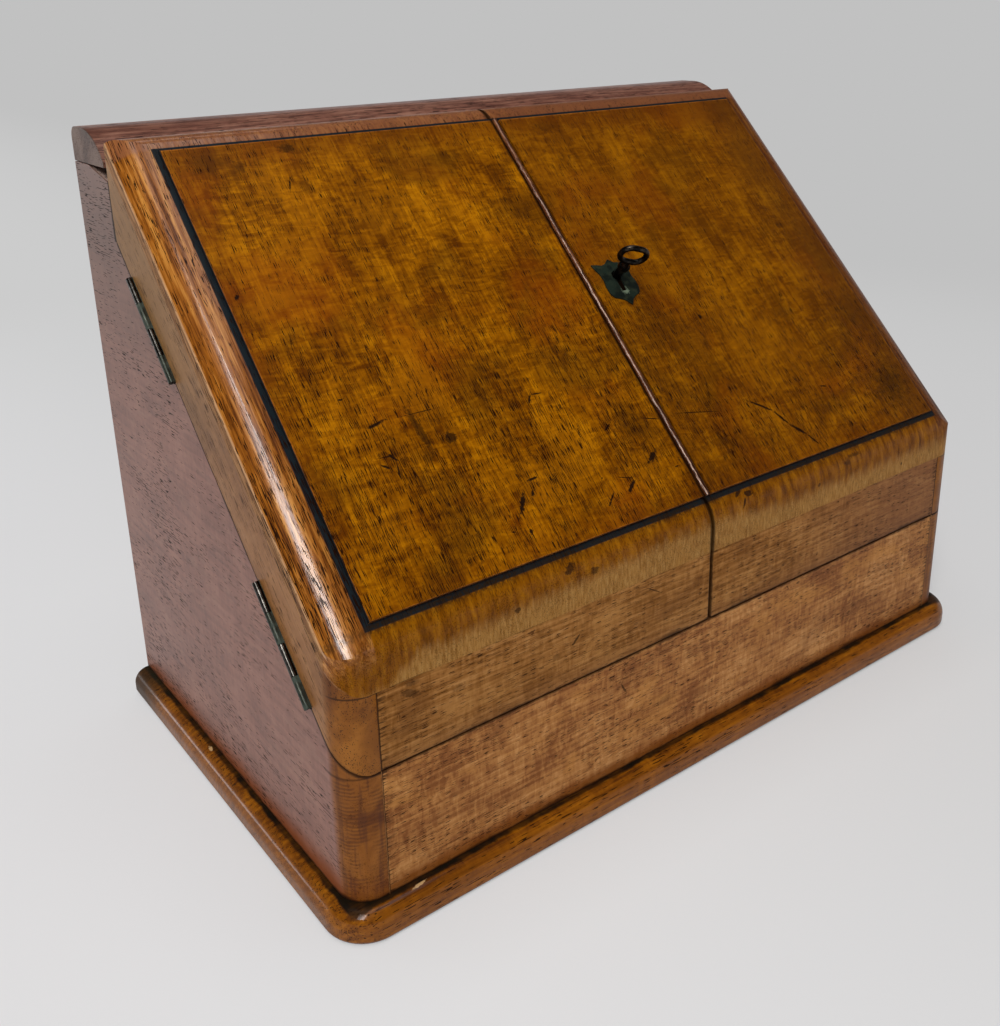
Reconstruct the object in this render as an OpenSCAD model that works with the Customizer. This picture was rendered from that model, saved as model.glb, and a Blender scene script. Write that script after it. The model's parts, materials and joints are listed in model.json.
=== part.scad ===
// Desk-top stationery cabinet in oak: a sloped pair of doors, a lift-up lid and a fitted letter rack.
// Millimetres. X runs across, Y runs back from the front face, Z runs up from the underside of the base.

/* [Carcase] */
// Width over the two side boards
body_w = 366; // [320:1:420]
// Depth of the side boards
body_d = 210; // [196:1:240]
// Height of the fixed front board above the base
front_h = 54; // [50:1:70]
// Thickness of the side boards
side_t = 15; // [13:0.5:18]
// Radius of the upright front corners
corner_r = 12; // [6:0.5:13]
// Thickness of the fixed front board and of the door rails
front_t = 15; // [12:0.5:18]
// Thickness of the back board
back_t = 10; // [9:0.5:14]
// Thickness of the inside floor
floor_t = 8; // [5:0.5:12]
// Depth of the side tops behind the doors, where the lid lies
lid_bed = 40.5; // [38:0.5:60]
// Height of the upright joint between the slope and the lid
side_rise = 29; // [26:1:40]
// Fall of the bevel on the side tops, towards the doors
bevel_drop = 5.2; // [3:0.1:8]
// Length of that bevel
bevel_run = 23; // [15:1:30]

/* [Base] */
// Thickness of the base board
base_t = 13; // [11:0.5:20]
// Overhang of the base at the front and both ends
base_over = 7.5; // [5:0.5:14]
// Radius of the base's front corners, seen from above
base_corner_r = 18; // [12:0.5:24]
// Rounding of the base's upper edge
base_top_r = 7; // [4:0.5:8]
// Rounding of the base's lower edge
base_foot_r = 2.5; // [1:0.5:3]

/* [Doors] */
// Height of the door cheeks and rails below the sloping board
cheek_h = 33; // [30:1:44]
// Thickness of the sloping board
board_t = 14; // [12:0.5:18]
// Height of the raised field above its sunk quirk
quirk_d = 1.6; // [1:0.1:2.5]
// Width of the quirk round the field
quirk_w = 2.2; // [1.5:0.1:3.5]
// Width of the thumb mould along the outer edge
thumb_w = 14.8; // [11:0.1:20]
// Fall of the thumb mould at the outer edge
thumb_drop = 6.8; // [4:0.1:9]
// Radius of the shoulder over the front
shoulder_r = 16; // [12:0.5:24]
// Radius of the rounding at the top of a door
top_r = 12; // [9:0.5:16]
// Radius of the edge behind that rounding
top_edge_r = 4.2; // [3:0.1:6]
// Gap between the two doors
meet_gap = 1.4; // [1.2:0.1:2.5]
// Gap between a moving piece and what it shuts against
joint_gap = 0.4; // [0.3:0.05:0.8]
// Width of the bead on the right door's meeting edge
bead_w = 2.9; // [2.4:0.1:5]
// Width of the quirk beside the bead
bead_quirk = 0.7; // [0.5:0.1:1.5]
// Depth of the rebate that the bead lies in
bead_sink = 2; // [1.5:0.1:3]
// Height of the bead above the field
bead_proud = 0.4; // [0.2:0.1:1]

/* [Lid] */
// Thickness of the lid
lid_t = 14.6; // [12:0.2:18]
// Radius of the long curve on the lid's front
lid_curve_r = 29; // [26:0.5:34]
// Height of the upright edge below that curve
lid_lip = 2; // [1:0.5:4]
// Rounding of the lid's rear upper edge
lid_back_r = 5; // [1:0.5:6]
// Gap between the lid's front edge and the doors
lid_clear = 3; // [2:0.5:6]
// Width of the fillets that the lid rests on
rest_w = 7; // [5:0.5:10]
// Height of those fillets
rest_h = 10; // [8:0.5:14]

/* [Hinges] */
// Length of a door hinge
hinge_len = 50.8; // [40:0.2:60]
// Length of a lid hinge
lid_hinge_len = 38; // [30:0.5:50]
// Radius of a knuckle
knuckle_r = 1.3; // [1.2:0.1:2]
// Radius of a hinge pin
pin_r = 0.65; // [0.5:0.05:0.8]
// Running clearance round a pin, a bolt or a key
run_clear = 0.05; // [0.03:0.01:0.1]
// Distance of the hinge axis outside the wood
pin_out = 1.3; // [0.8:0.1:1.6]
// Thickness of a leaf
leaf_t = 1; // [0.8:0.1:1.3]
// Width of a door hinge leaf let into the wood
leaf_w = 12; // [9:0.5:12.5]
// Width of a lid hinge leaf let into the wood
lid_leaf_w = 8; // [7:0.5:8.5]
// Distance of the lower door hinge's middle from the foot of the slope
hinge_low = 56; // [40:1:80]
// Distance of the upper door hinge's middle from the head of the slope
hinge_high = 45; // [35:1:80]
// Distance of the lid hinges from the centre line
lid_hinge_x = 112; // [60:1:130]
// Radius of a screw head
screw_head_r = 2.3; // [2:0.1:2.6]
// Radius of a screw shank
screw_r = 1.1; // [0.9:0.1:1.2]
// Length of a screw
screw_len = 9; // [7:0.5:11]

/* [Lock] */
// Distance of the key from the centre line
key_x = 19.4; // [18:0.2:26]
// Distance of the key up the slope, from its foot
key_u = 156.9; // [120:0.5:200]
// Radius of the key's stem
stem_r = 2.1; // [1.8:0.1:2.4]
// Reach of the key's bit from the stem's axis
bit_reach = 8; // [7:0.1:8.5]
// Height of the bow's middle above the field
bow_rise = 16.7; // [14:0.1:24]
// Radius of the bow's round ends, to the middle of the wire
bow_r = 4.8; // [4:0.1:6]
// Straight length between the bow's round ends
bow_flat = 3; // [1:0.1:5]
// Radius of the bow's wire
wire_r = 1.4; // [1.1:0.05:1.6]
// Turn of the key at rest, from straight across
key_turn = -23; // [-40:1:0]
// Thickness of the escutcheon
plate_t = 0.8; // [0.5:0.1:1.5]
// Width of the lock case
case_w = 37; // [36:0.5:44]
// Height of the lock case under the door
case_d = 9; // [8.6:0.1:11]
// Wall of the lock case, and thickness of the strike plate
case_wall = 1.2; // [0.8:0.1:1.5]
// Throw of the lock bolt
bolt_throw = 5; // [3:0.5:5]

/* [Inside] */
// Height of the pen tray
tray_h = 25; // [22:0.5:28]
// Depth of the pen tray, front to back
tray_d = 52; // [46:1:54]
// Length of the pen trough
trough_len = 196; // [120:1:200]
// Radius of the pen trough
trough_r = 17; // [12:0.5:19]
// Side of a square inkwell socket
socket_w = 36; // [28:0.5:38]
// Depth of an inkwell socket
socket_h = 19; // [12:0.5:20]
// Thickness of the rack dividers and the partition
divider_t = 5; // [3:0.5:7]
// Thickness of the rack ends
rack_end_t = 6; // [4:0.5:8]
// Number of rack dividers
divider_count = 4; // [3:1:5]
// Height of the front divider above the inside floor
divider_h = 84; // [70:1:100]
// Depth of the scoop in a divider's top edge
scoop_d = 9; // [5:0.5:14]
// Radius of the small bolt on the left door
slide_r = 2; // [1.5:0.1:2.5]
// Travel of that bolt
slide_travel = 8; // [6:0.5:9]

/* [Hidden] */
$fn = 48;
oak = "#8a5a2b";
oak_dark = "#6b4022";
oak_side = "#7d5a4c";
iron = "#2b2f2a";
brass = "#8c7a45";
eps = 0.01;
root2 = sqrt(2);
// The slope stands at 45 degrees and starts on the front face, at the top of the front board.
seam_z = base_t + front_h;
half_w = body_w / 2;
inner_x = half_w - side_t;
door_back = body_d - lid_bed;
slope_len = door_back * root2;
side_top = seam_z + door_back + side_rise;
floor_top = base_t + floor_t;
// Doors: heights square to the slope, and the line that the sunk mouldings follow.
door_y = door_back - joint_gap;
joint_z = joint_gap * root2;
under_n = cheek_h / root2;
field_n = under_n + board_t;
sunk_n = field_n - quirk_d;
under_z = seam_z + cheek_h;
sunk_z = seam_z + sunk_n * root2;
meet_x = meet_gap / 2;
shoulder_y = shoulder_r * (1 - 1 / root2);
head_y = door_y - top_edge_r;
head_z = head_y + sunk_z - top_r * root2;
field_lo = along(shoulder_y) + quirk_w;
field_hi = along(head_y - top_r / root2) - quirk_w;
field_x = half_w - thumb_w - quirk_w;
// Hinges and screws.
hinge_u = [hinge_low, slope_len - hinge_high];
knuckle_gap = 0.2;
knuckle_clear = 0.3;
door_knuckles = 4;
lid_knuckles = 3;
screw_pitch = 0.33;
screw_slot = 0.6;
// Lock.
case_u = key_u - 15;
case_h = 34;
selvedge_t = 2;
key_play = 0.1;
hole_r = stem_r + 0.4;
slot_w = 2.8;
bit_w = 2.2;
bolt_t = 4;
bolt_h = 6;
bolt_n = under_n - case_wall - 0.3 - bolt_t;
bolt_lo = key_u + bit_reach + 1.5;
bolt_x = meet_x + 0.3;
bolt_len = 31;
talon_lo = key_u + bit_reach - 1.5;
talon_in = key_x - 2.2;
talon_out = key_x + 8.6;
talon_t = 2.5;
bolt_play = 0.2;
strike_w = 13;
strike_h = 22;
// Slide bolt of the left door.
slide_x = -meet_x - 18;
slide_y = front_t + slide_r + 2;
guide_w = 12;
guide_t = 1.2;
keep_eye = 2 * slide_r + 1;
keep_wall = 2;
guide_z = under_z - 2;
guide_h = 26;
lug_h = 4;
slide_foot = seam_z + 1;
// Letter rack.
tray_y = front_t + joint_gap;
rack_y = tray_y + tray_d + 4;
rack_back = body_d - back_t;
rack_pitch = (rack_back - rack_y) / divider_count;
rack_slack = 0.1;

// Distance up the slope of a point that lies y back on the sunk line
function along(y) = (2 * y + sunk_n * root2) / root2;
// Points of an arc
function arc(c, r, a0, a1, n) = [for (i = [0:n]) let (a = a0 + (a1 - a0) * i / n) c + r * [cos(a), sin(a)]];
// Front face and height of a rack divider
function divider_y(i) = rack_y + i * rack_pitch;
function divider_top(i) = floor_top + divider_h + i * rack_pitch;

// Outlines drawn in side view, as Y and Z, and run along X
module across(x0, x1) {
    translate([x0, 0, 0]) rotate([90, 0, 90]) linear_extrude(x1 - x0) children();
}

// Frame of the slope: X across, Y up the slope, Z square to it and outwards
module slope() {
    translate([0, 0, seam_z]) rotate([45, 0, 0]) children();
}

// Outlines drawn across the slope, as X and height above the seam, and run up the slope
module up_slope(u0, u1) {
    translate([0, u1, 0]) rotate([90, 0, 0]) linear_extrude(u1 - u0) children();
}

module mirrored() {
    mirror([1, 0, 0]) children();
}

// What is cut from the left front corner to round it
module corner_waste() {
    difference() {
        translate([-half_w - 1, -1, -1]) cube([corner_r + 1, corner_r + 1, side_top + 2]);
        translate([corner_r - half_w, corner_r, -2]) cylinder(r = corner_r, h = side_top + 4, $fn = 96);
    }
}

// Butt hinge: its axis along X, leaves towards +Y, the lower leaf under Z = 0.
// The first knuckle is on the lower leaf.
module knuckles(len, count, first, r, grow) {
    pitch = len / count;
    for (i = [first:2:count - 1])
        translate([-len / 2 + i * pitch + knuckle_gap / 2 - grow, 0, 0])
            rotate([0, 90, 0]) cylinder(r = r, h = pitch - knuckle_gap + 2 * grow);
}

module hinge_pin(len) {
    translate([-len / 2, 0, 0]) rotate([0, 90, 0]) cylinder(r = pin_r, h = len);
}

module at_screws(len, width) {
    for (i = [-1:1]) translate([i * len * screw_pitch, pin_out + width * 0.55, 0]) children();
}

module screw_body(play) {
    translate([0, 0, -leaf_t]) cylinder(r1 = screw_r + play, r2 = screw_head_r + play, h = leaf_t + eps);
    translate([0, 0, -screw_len]) cylinder(r = screw_r + play, h = screw_len - leaf_t + eps);
}

module leaf(len, width, count, lower) {
    flip = lower ? 0 : 1;
    mirror([0, 0, flip]) difference() {
        union() {
            translate([-len / 2, 0, -joint_gap / 2 - leaf_t]) cube([len, pin_out + width, leaf_t]);
            knuckles(len, count, flip, knuckle_r, 0);
        }
        knuckles(len, count, 1 - flip, knuckle_r + knuckle_clear, knuckle_gap);
        translate([-len / 2 - 1, 0, 0]) rotate([0, 90, 0]) cylinder(r = pin_r + run_clear, h = len + 2);
        at_screws(len, width) translate([0, 0, -joint_gap / 2]) screw_body(run_clear);
    }
}

module leaf_screws(len, width, lower) {
    mirror([0, 0, lower ? 0 : 1])
        at_screws(len, width) translate([0, 0, -joint_gap / 2]) difference() {
            intersection() {
                screw_body(0);
                translate([0, 0, -screw_len]) cylinder(r = screw_head_r, h = screw_len);
            }
            translate([-screw_head_r, -screw_slot / 2, -leaf_t / 2])
                cube([2 * screw_head_r, screw_slot, leaf_t]);
        }
}

// What a leaf, the knuckles and the screws need cut from the wood
module leaf_recess(len, width, lower) {
    mirror([0, 0, lower ? 0 : 1]) {
        translate([-len / 2, -knuckle_r, -joint_gap / 2 - leaf_t])
            cube([len, knuckle_r + pin_out + width, leaf_t + 1]);
        at_screws(len, width) translate([0, 0, -joint_gap / 2 - screw_len - 0.5])
            cylinder(r = screw_r + run_clear, h = screw_len);
    }
    translate([-len / 2 - knuckle_clear, 0, 0]) rotate([0, 90, 0])
        cylinder(r = knuckle_r + knuckle_clear, h = len + 2 * knuckle_clear);
}

module at_door_hinges() {
    slope() for (u = hinge_u) translate([-half_w - pin_out, u, joint_gap / 2]) rotate([0, 0, -90]) children();
}

module at_lid_hinges() {
    for (x = [-lid_hinge_x, lid_hinge_x])
        translate([x, body_d + pin_out, side_top + joint_gap / 2]) rotate([0, 0, 180]) children();
}

// Edge of the base in section, from its upright middle line outwards
module base_edge(reach) {
    polygon(concat(
        [[0, 0]],
        arc([reach - base_foot_r, base_foot_r], base_foot_r, -90, 0, 6),
        arc([reach - base_top_r, base_t - base_top_r], base_top_r, 0, 90, 12),
        [[0, base_t]]
    ));
}

module base_plinth() {
    corner_x = half_w + base_over - base_corner_r;
    corner_y = base_corner_r - base_over;
    color(oak_dark) union() {
        translate([-corner_x, corner_y, 0]) cube([2 * corner_x, body_d - corner_y, base_t]);
        translate([-corner_x, corner_y, 0]) rotate([90, 0, 90])
            linear_extrude(2 * corner_x) mirror([1, 0]) base_edge(base_corner_r);
        for (side = [0, 1]) mirror([side, 0, 0]) {
            translate([corner_x, corner_y, 0]) rotate_extrude($fn = 96) base_edge(base_corner_r);
            translate([corner_x, body_d, 0]) rotate([90, 0, 0])
                linear_extrude(body_d - corner_y) base_edge(base_corner_r);
        }
    }
}

module inside_floor() {
    color(oak) translate([-inner_x, front_t, base_t]) cube([2 * inner_x, rack_back - front_t, floor_t]);
}

module side_outline() {
    polygon([
        [0, base_t],
        [0, seam_z],
        [door_back, seam_z + door_back],
        [door_back, side_top - bevel_drop],
        [door_back + bevel_run, side_top],
        [body_d, side_top],
        [body_d, base_t]
    ]);
}

module side_board() {
    color(oak_side) difference() {
        across(-half_w, -inner_x) side_outline();
        corner_waste();
        at_door_hinges() leaf_recess(hinge_len, leaf_w, true);
    }
}

module side_left() {
    side_board();
}

module side_right() {
    mirrored() side_board();
}

module back_board() {
    color(oak_side) difference() {
        translate([-inner_x, rack_back, base_t]) cube([2 * inner_x, back_t, side_top - base_t]);
        at_lid_hinges() leaf_recess(lid_hinge_len, lid_leaf_w, true);
    }
}

module front_board() {
    color(oak) translate([-inner_x, 0, base_t]) cube([2 * inner_x, front_t, front_h]);
}

module lid_rest() {
    color(oak_dark) translate([-inner_x, door_back + lid_clear, side_top - rest_h])
        cube([rest_w, rack_back - door_back - lid_clear, rest_h]);
}

module lid_rest_left() {
    lid_rest();
}

module lid_rest_right() {
    mirrored() lid_rest();
}

module pen_tray() {
    socket_x = (trough_len / 2 + inner_x) / 2;
    tray_mid = tray_y + tray_d / 2;
    color(oak_dark) difference() {
        translate([-inner_x, tray_y, floor_top]) cube([2 * inner_x, tray_d, tray_h]);
        translate([-trough_len / 2, tray_mid, floor_top + tray_h + 1]) rotate([0, 90, 0])
            cylinder(r = trough_r, h = trough_len, $fn = 96);
        for (x = [-socket_x, socket_x])
            translate([x - socket_w / 2, tray_mid - socket_w / 2, floor_top + tray_h - socket_h])
                cube([socket_w, socket_w, socket_h + 1]);
    }
}

// Rack ends follow the slope, with a rounded front shoulder
module rack_end() {
    top_y = divider_y(divider_count - 1) + divider_t;
    top_z = divider_top(divider_count - 1) + divider_t;
    front_z = top_z - (top_y - rack_y);
    nose_r = 14;
    color(oak) across(-inner_x, -inner_x + rack_end_t) polygon(concat(
        [[rack_y, floor_top]],
        arc([rack_y + nose_r, front_z + nose_r - nose_r * root2], nose_r, 180, 135, 6),
        [[top_y, top_z], [rack_back, top_z], [rack_back, floor_top]]
    ));
}

module rack_end_left() {
    rack_end();
}

module rack_end_right() {
    mirrored() rack_end();
}

// A divider is scooped on each side of the partition and halved over it
module rack_divider(i) {
    x0 = inner_x - rack_end_t;
    h = divider_top(i) - floor_top;
    scoop_half = x0 / 2 - 20;
    scoop_r = (scoop_half * scoop_half + scoop_d * scoop_d) / (2 * scoop_d);
    color(oak) difference() {
        translate([-x0, divider_y(i), floor_top]) cube([2 * x0, divider_t, h]);
        for (side = [-1, 1]) translate([side * x0 / 2, divider_y(i) - 1, divider_top(i) + scoop_r - scoop_d])
            rotate([-90, 0, 0]) cylinder(r = scoop_r, h = divider_t + 2, $fn = 160);
        if (i > 0) translate([-divider_t / 2 - rack_slack, divider_y(i) - 1, floor_top - 1])
            cube([divider_t + 2 * rack_slack, divider_t + 2, h / 2 + 1]);
    }
}

module rack_divider_1() {
    rack_divider(0);
}

module rack_divider_2() {
    rack_divider(1);
}

module rack_divider_3() {
    rack_divider(2);
}

module rack_divider_4() {
    rack_divider(3);
}

module rack_partition() {
    last = divider_count - 1;
    start = rack_y + divider_t;
    color(oak) difference() {
        across(-divider_t / 2, divider_t / 2) polygon([
            [start, floor_top],
            [start, divider_top(0) - scoop_d + divider_t],
            [divider_y(last), divider_top(last) - scoop_d],
            [rack_back, divider_top(last) - scoop_d],
            [rack_back, floor_top]
        ]);
        for (i = [1:last])
            translate([-divider_t, divider_y(i) - rack_slack, floor_top + (divider_top(i) - floor_top) / 2])
                cube([2 * divider_t, divider_t + 2 * rack_slack, side_top]);
    }
}

module left_hinge_carcase_leaves() {
    color(iron) at_door_hinges() leaf(hinge_len, leaf_w, door_knuckles, true);
}

module left_hinge_door_leaves() {
    color(iron) at_door_hinges() leaf(hinge_len, leaf_w, door_knuckles, false);
}

module left_hinge_pins() {
    color(iron) at_door_hinges() hinge_pin(hinge_len);
}

module left_hinge_carcase_screws() {
    color(iron) at_door_hinges() leaf_screws(hinge_len, leaf_w, true);
}

module left_hinge_door_screws() {
    color(iron) at_door_hinges() leaf_screws(hinge_len, leaf_w, false);
}

module right_hinge_carcase_leaves() {
    mirrored() left_hinge_carcase_leaves();
}

module right_hinge_door_leaves() {
    mirrored() left_hinge_door_leaves();
}

module right_hinge_pins() {
    mirrored() left_hinge_pins();
}

module right_hinge_carcase_screws() {
    mirrored() left_hinge_carcase_screws();
}

module right_hinge_door_screws() {
    mirrored() left_hinge_door_screws();
}

module lid_hinge_carcase_leaves() {
    color(brass) at_lid_hinges() leaf(lid_hinge_len, lid_leaf_w, lid_knuckles, true);
}

module lid_hinge_lid_leaves() {
    color(brass) at_lid_hinges() leaf(lid_hinge_len, lid_leaf_w, lid_knuckles, false);
}

module lid_hinge_pins() {
    color(brass) at_lid_hinges() hinge_pin(lid_hinge_len);
}

module lid_hinge_carcase_screws() {
    color(brass) at_lid_hinges() leaf_screws(lid_hinge_len, lid_leaf_w, true);
}

module lid_hinge_lid_screws() {
    color(brass) at_lid_hinges() leaf_screws(lid_hinge_len, lid_leaf_w, false);
}

// Side view of the sloping board: shoulder at the foot, long rounding and small edge at the head
module board_outline() {
    polygon(concat(
        [[0, under_z]],
        arc([shoulder_r, sunk_z + shoulder_r * (1 - root2)], shoulder_r, 180, 135, 8),
        arc([head_y, head_z], top_r, 135, 90, 8),
        arc([head_y, head_z + top_r - top_edge_r], top_edge_r, 90, 0, 8),
        [[door_y, door_y + under_z]]
    ));
}

// Section of the board across the slope: the thumb mould falls away to the outer edge
module board_section() {
    thumb_r = (thumb_w * thumb_w + thumb_drop * thumb_drop) / (2 * thumb_drop);
    polygon(concat(
        [[-meet_x, under_n - slope_len], [-meet_x, sunk_n]],
        arc([-half_w + thumb_w, sunk_n - thumb_r], thumb_r, 90, 90 + asin(thumb_w / thumb_r), 14),
        [[-half_w, under_n - slope_len]]
    ));
}

module door_board() {
    difference() {
        union() {
            intersection() {
                across(-half_w, -meet_x) board_outline();
                slope() up_slope(-slope_len, 2 * slope_len) board_section();
            }
            slope() translate([-field_x, field_lo, under_n + board_t / 2])
                cube([field_x - meet_x, field_hi - field_lo, board_t / 2]);
        }
        corner_waste();
    }
}

// The cheek fills the side below the board, and follows the seam
module door_cheek() {
    color(oak) difference() {
        across(-half_w, -inner_x) polygon([
            [0, seam_z + joint_z],
            [0, under_z],
            [door_y, door_y + under_z],
            [door_y, door_y + seam_z + joint_z]
        ]);
        corner_waste();
        at_door_hinges() leaf_recess(hinge_len, leaf_w, false);
    }
}

// The rail closes the front below the board, with its top bevelled to fit
module door_rail() {
    color(oak) across(-inner_x, -meet_x) polygon([
        [0, seam_z + joint_z],
        [0, under_z],
        [front_t, under_z + front_t],
        [front_t, seam_z + joint_z]
    ]);
}

module left_door_board() {
    color(oak) door_board();
}

module left_door_cheek() {
    door_cheek();
}

module left_door_rail() {
    door_rail();
}

// Wear plate under the left door, which the lock bolt slides behind
module strike_plate() {
    lead = case_wall * 0.6;
    mid_u = bolt_lo + bolt_h / 2;
    color(brass) slope() up_slope(mid_u - strike_h / 2, mid_u + strike_h / 2) polygon([
        [-meet_x, under_n],
        [-meet_x, under_n - case_wall + lead],
        [-meet_x - lead, under_n - case_wall],
        [-meet_x - strike_w, under_n - case_wall],
        [-meet_x - strike_w, under_n]
    ]);
}

// Guide of the left door's small bolt, on the back of the rail
module bolt_guide() {
    color(brass) difference() {
        union() {
            translate([slide_x - guide_w / 2, front_t, guide_z - guide_h]) cube([guide_w, guide_t, guide_h]);
            for (z = [guide_z - guide_h, guide_z - lug_h])
                translate([slide_x - slide_r - 1.5, front_t, z])
                    cube([2 * slide_r + 3, slide_y - front_t + slide_r + 1.5, lug_h]);
        }
        translate([slide_x, slide_y, 0]) cylinder(r = slide_r + run_clear, h = side_top);
    }
}

module bolt_keep() {
    color(brass) difference() {
        translate([slide_x - keep_eye / 2 - keep_wall, front_t, seam_z - slide_travel - 1])
            cube([keep_eye + 2 * keep_wall, slide_y - front_t + keep_eye / 2 + keep_wall, slide_travel]);
        translate([slide_x - keep_eye / 2, slide_y - keep_eye / 2, 0]) cube([keep_eye, keep_eye, side_top]);
    }
}

module slide_bolt() {
    color(brass) union() {
        translate([slide_x, slide_y, slide_foot]) cylinder(r = slide_r, h = guide_z - slide_foot);
        translate([slide_x, slide_y, guide_z - lug_h - 4]) rotate([-90, 0, 0]) cylinder(r = slide_r, h = 5);
        translate([slide_x, slide_y + 6, guide_z - lug_h - 4]) sphere(r = slide_r + 0.6, $fn = 32);
    }
}

// Keyhole outline round the key's axis, its slot pointing down the slope
module keyhole() {
    circle(r = hole_r);
    translate([-slot_w / 2, -bit_reach - 0.5]) square([slot_w, bit_reach + 0.5]);
}

module at_key() {
    slope() translate([key_x, key_u, 0]) children();
}

module right_door_board() {
    color(oak) difference() {
        mirrored() door_board();
        slope() translate([0, field_lo - eps, field_n - bead_sink])
            cube([meet_x + bead_w + bead_quirk, field_hi - field_lo + 2 * eps, bead_sink + 1]);
        at_key() linear_extrude(field_n + 1) keyhole();
    }
}

module right_door_cheek() {
    mirrored() door_cheek();
}

module right_door_rail() {
    mirrored() door_rail();
}

// Half-round bead in its rebate, along the field
module meeting_bead() {
    mid_x = meet_x + bead_w / 2;
    top_n = field_n + bead_proud - bead_w / 2;
    color(oak_dark) slope() up_slope(field_lo, field_hi) polygon(concat(
        [[meet_x + bead_w, field_n - bead_sink]],
        arc([mid_x, top_n], bead_w / 2, 0, 180, 16),
        [[meet_x, field_n - bead_sink]]
    ));
}

// Half of the shield-shaped escutcheon, to the right of the key's axis
shield_half = [
    [0, 9.3], [2.6, 7.2], [5.4, 6.6], [8.2, 7.4], [11, 7.8], [10.2, 5.2], [8.9, 2.4], [8.5, -1.2],
    [9.1, -4.8], [9, -8.6], [7.6, -11.2], [4.6, -12.3], [2.2, -13.8], [0, -16.6]
];

module shield() {
    count = len(shield_half);
    polygon(concat(
        shield_half,
        [for (i = [count - 2:-1:1]) [-shield_half[i][0], shield_half[i][1]]]
    ));
}

module escutcheon() {
    color(iron) at_key() translate([0, 0, field_n]) linear_extrude(plate_t) difference() {
        shield();
        keyhole();
    }
}

// Rim lock under the right door: a tray that the cap closes
module lock_case() {
    rim_n = under_n - case_d + case_wall;
    room_w = case_w - selvedge_t - case_wall;
    room_d = under_n - rim_n - case_wall;
    color(iron) difference() {
        slope() difference() {
            translate([meet_x, case_u, rim_n]) cube([case_w, case_h, under_n - rim_n]);
            translate([meet_x + selvedge_t, case_u + case_wall, rim_n - 1])
                cube([room_w, case_h - 2 * case_wall, room_d + 1]);
            translate([0, bolt_lo - bolt_play, bolt_n - bolt_play])
                cube([meet_x + selvedge_t + 1, bolt_h + 2 * bolt_play, bolt_t + 2 * bolt_play]);
        }
        at_key() linear_extrude(field_n) keyhole();
    }
}

module lock_cap() {
    color(iron) slope() difference() {
        translate([meet_x, case_u, under_n - case_d]) cube([case_w, case_h, case_wall]);
        translate([key_x, key_u, 0]) cylinder(r = stem_r + key_play, h = under_n + 1);
    }
}

// Bolt with the two talons that the key's bit passes between
module lock_bolt() {
    color(brass) slope() union() {
        translate([bolt_x, bolt_lo, bolt_n]) cube([bolt_len, bolt_h, bolt_t]);
        for (x = [talon_in - talon_t, talon_out])
            translate([x, talon_lo, bolt_n]) cube([talon_t, bolt_lo - talon_lo + eps, bolt_t]);
    }
}

module key_bow() {
    for (side = [0, 1]) mirror([side, 0, 0]) {
        translate([bow_flat / 2, 0, 0]) rotate([90, 0, 0]) rotate([0, 0, -90])
            rotate_extrude(angle = 180, $fn = 64) translate([bow_r, 0]) circle(r = wire_r, $fn = 32);
        for (z = [-bow_r, bow_r])
            translate([0, 0, z]) rotate([0, 90, 0]) cylinder(r = wire_r, h = bow_flat / 2, $fn = 32);
    }
}

module key() {
    bow_n = field_n + bow_rise;
    stem_top = bow_n - bow_r;
    color(iron) at_key() rotate([0, 0, key_turn]) union() {
        translate([0, 0, under_n - case_d]) cylinder(r = stem_r, h = stem_top - 3 - under_n + case_d);
        translate([0, 0, field_n + 7]) cylinder(r = stem_r + 0.8, h = 1.8);
        translate([0, 0, stem_top - 3 - eps]) cylinder(r1 = stem_r, r2 = wire_r, h = 3 + eps);
        translate([0, -bit_w / 2, bolt_n]) cube([bit_reach, bit_w, bolt_t]);
        translate([0, 0, bow_n]) key_bow();
    }
}

// Side view of the lid: a low upright edge, a long curve, a flat and a small rear rounding
module lid_outline() {
    z0 = side_top + joint_gap;
    y0 = door_back + lid_clear;
    rise = lid_t - lid_lip;
    sweep = acos((lid_curve_r - rise) / lid_curve_r);
    polygon(concat(
        [[y0, z0]],
        arc([y0 + lid_curve_r * sin(sweep), z0 + lid_t - lid_curve_r], lid_curve_r, 90 + sweep, 90, 12),
        arc([body_d - lid_back_r, z0 + lid_t - lid_back_r], lid_back_r, 90, 0, 6),
        [[body_d, z0]]
    ));
}

module lid_board() {
    color(oak_side) difference() {
        across(-half_w, half_w) lid_outline();
        at_lid_hinges() leaf_recess(lid_hinge_len, lid_leaf_w, false);
    }
}

base_plinth();
inside_floor();
side_left();
side_right();
back_board();
front_board();
lid_rest_left();
lid_rest_right();
pen_tray();
rack_end_left();
rack_end_right();
rack_divider_1();
rack_divider_2();
rack_divider_3();
rack_divider_4();
rack_partition();
left_hinge_carcase_leaves();
left_hinge_pins();
left_hinge_carcase_screws();
right_hinge_carcase_leaves();
right_hinge_pins();
right_hinge_carcase_screws();
lid_hinge_carcase_leaves();
lid_hinge_pins();
lid_hinge_carcase_screws();
bolt_keep();
left_door_board();
left_door_cheek();
left_door_rail();
left_hinge_door_leaves();
left_hinge_door_screws();
strike_plate();
bolt_guide();
slide_bolt();
right_door_board();
right_door_cheek();
right_door_rail();
right_hinge_door_leaves();
right_hinge_door_screws();
meeting_bead();
escutcheon();
lock_case();
lock_cap();
lock_bolt();
key();
lid_board();
lid_hinge_lid_leaves();
lid_hinge_lid_screws();
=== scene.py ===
"""Oak stationery cabinet on a pale floor: dressed copies of the CAD pieces, oak and old metal, lights and camera."""

import json
import math

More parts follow.
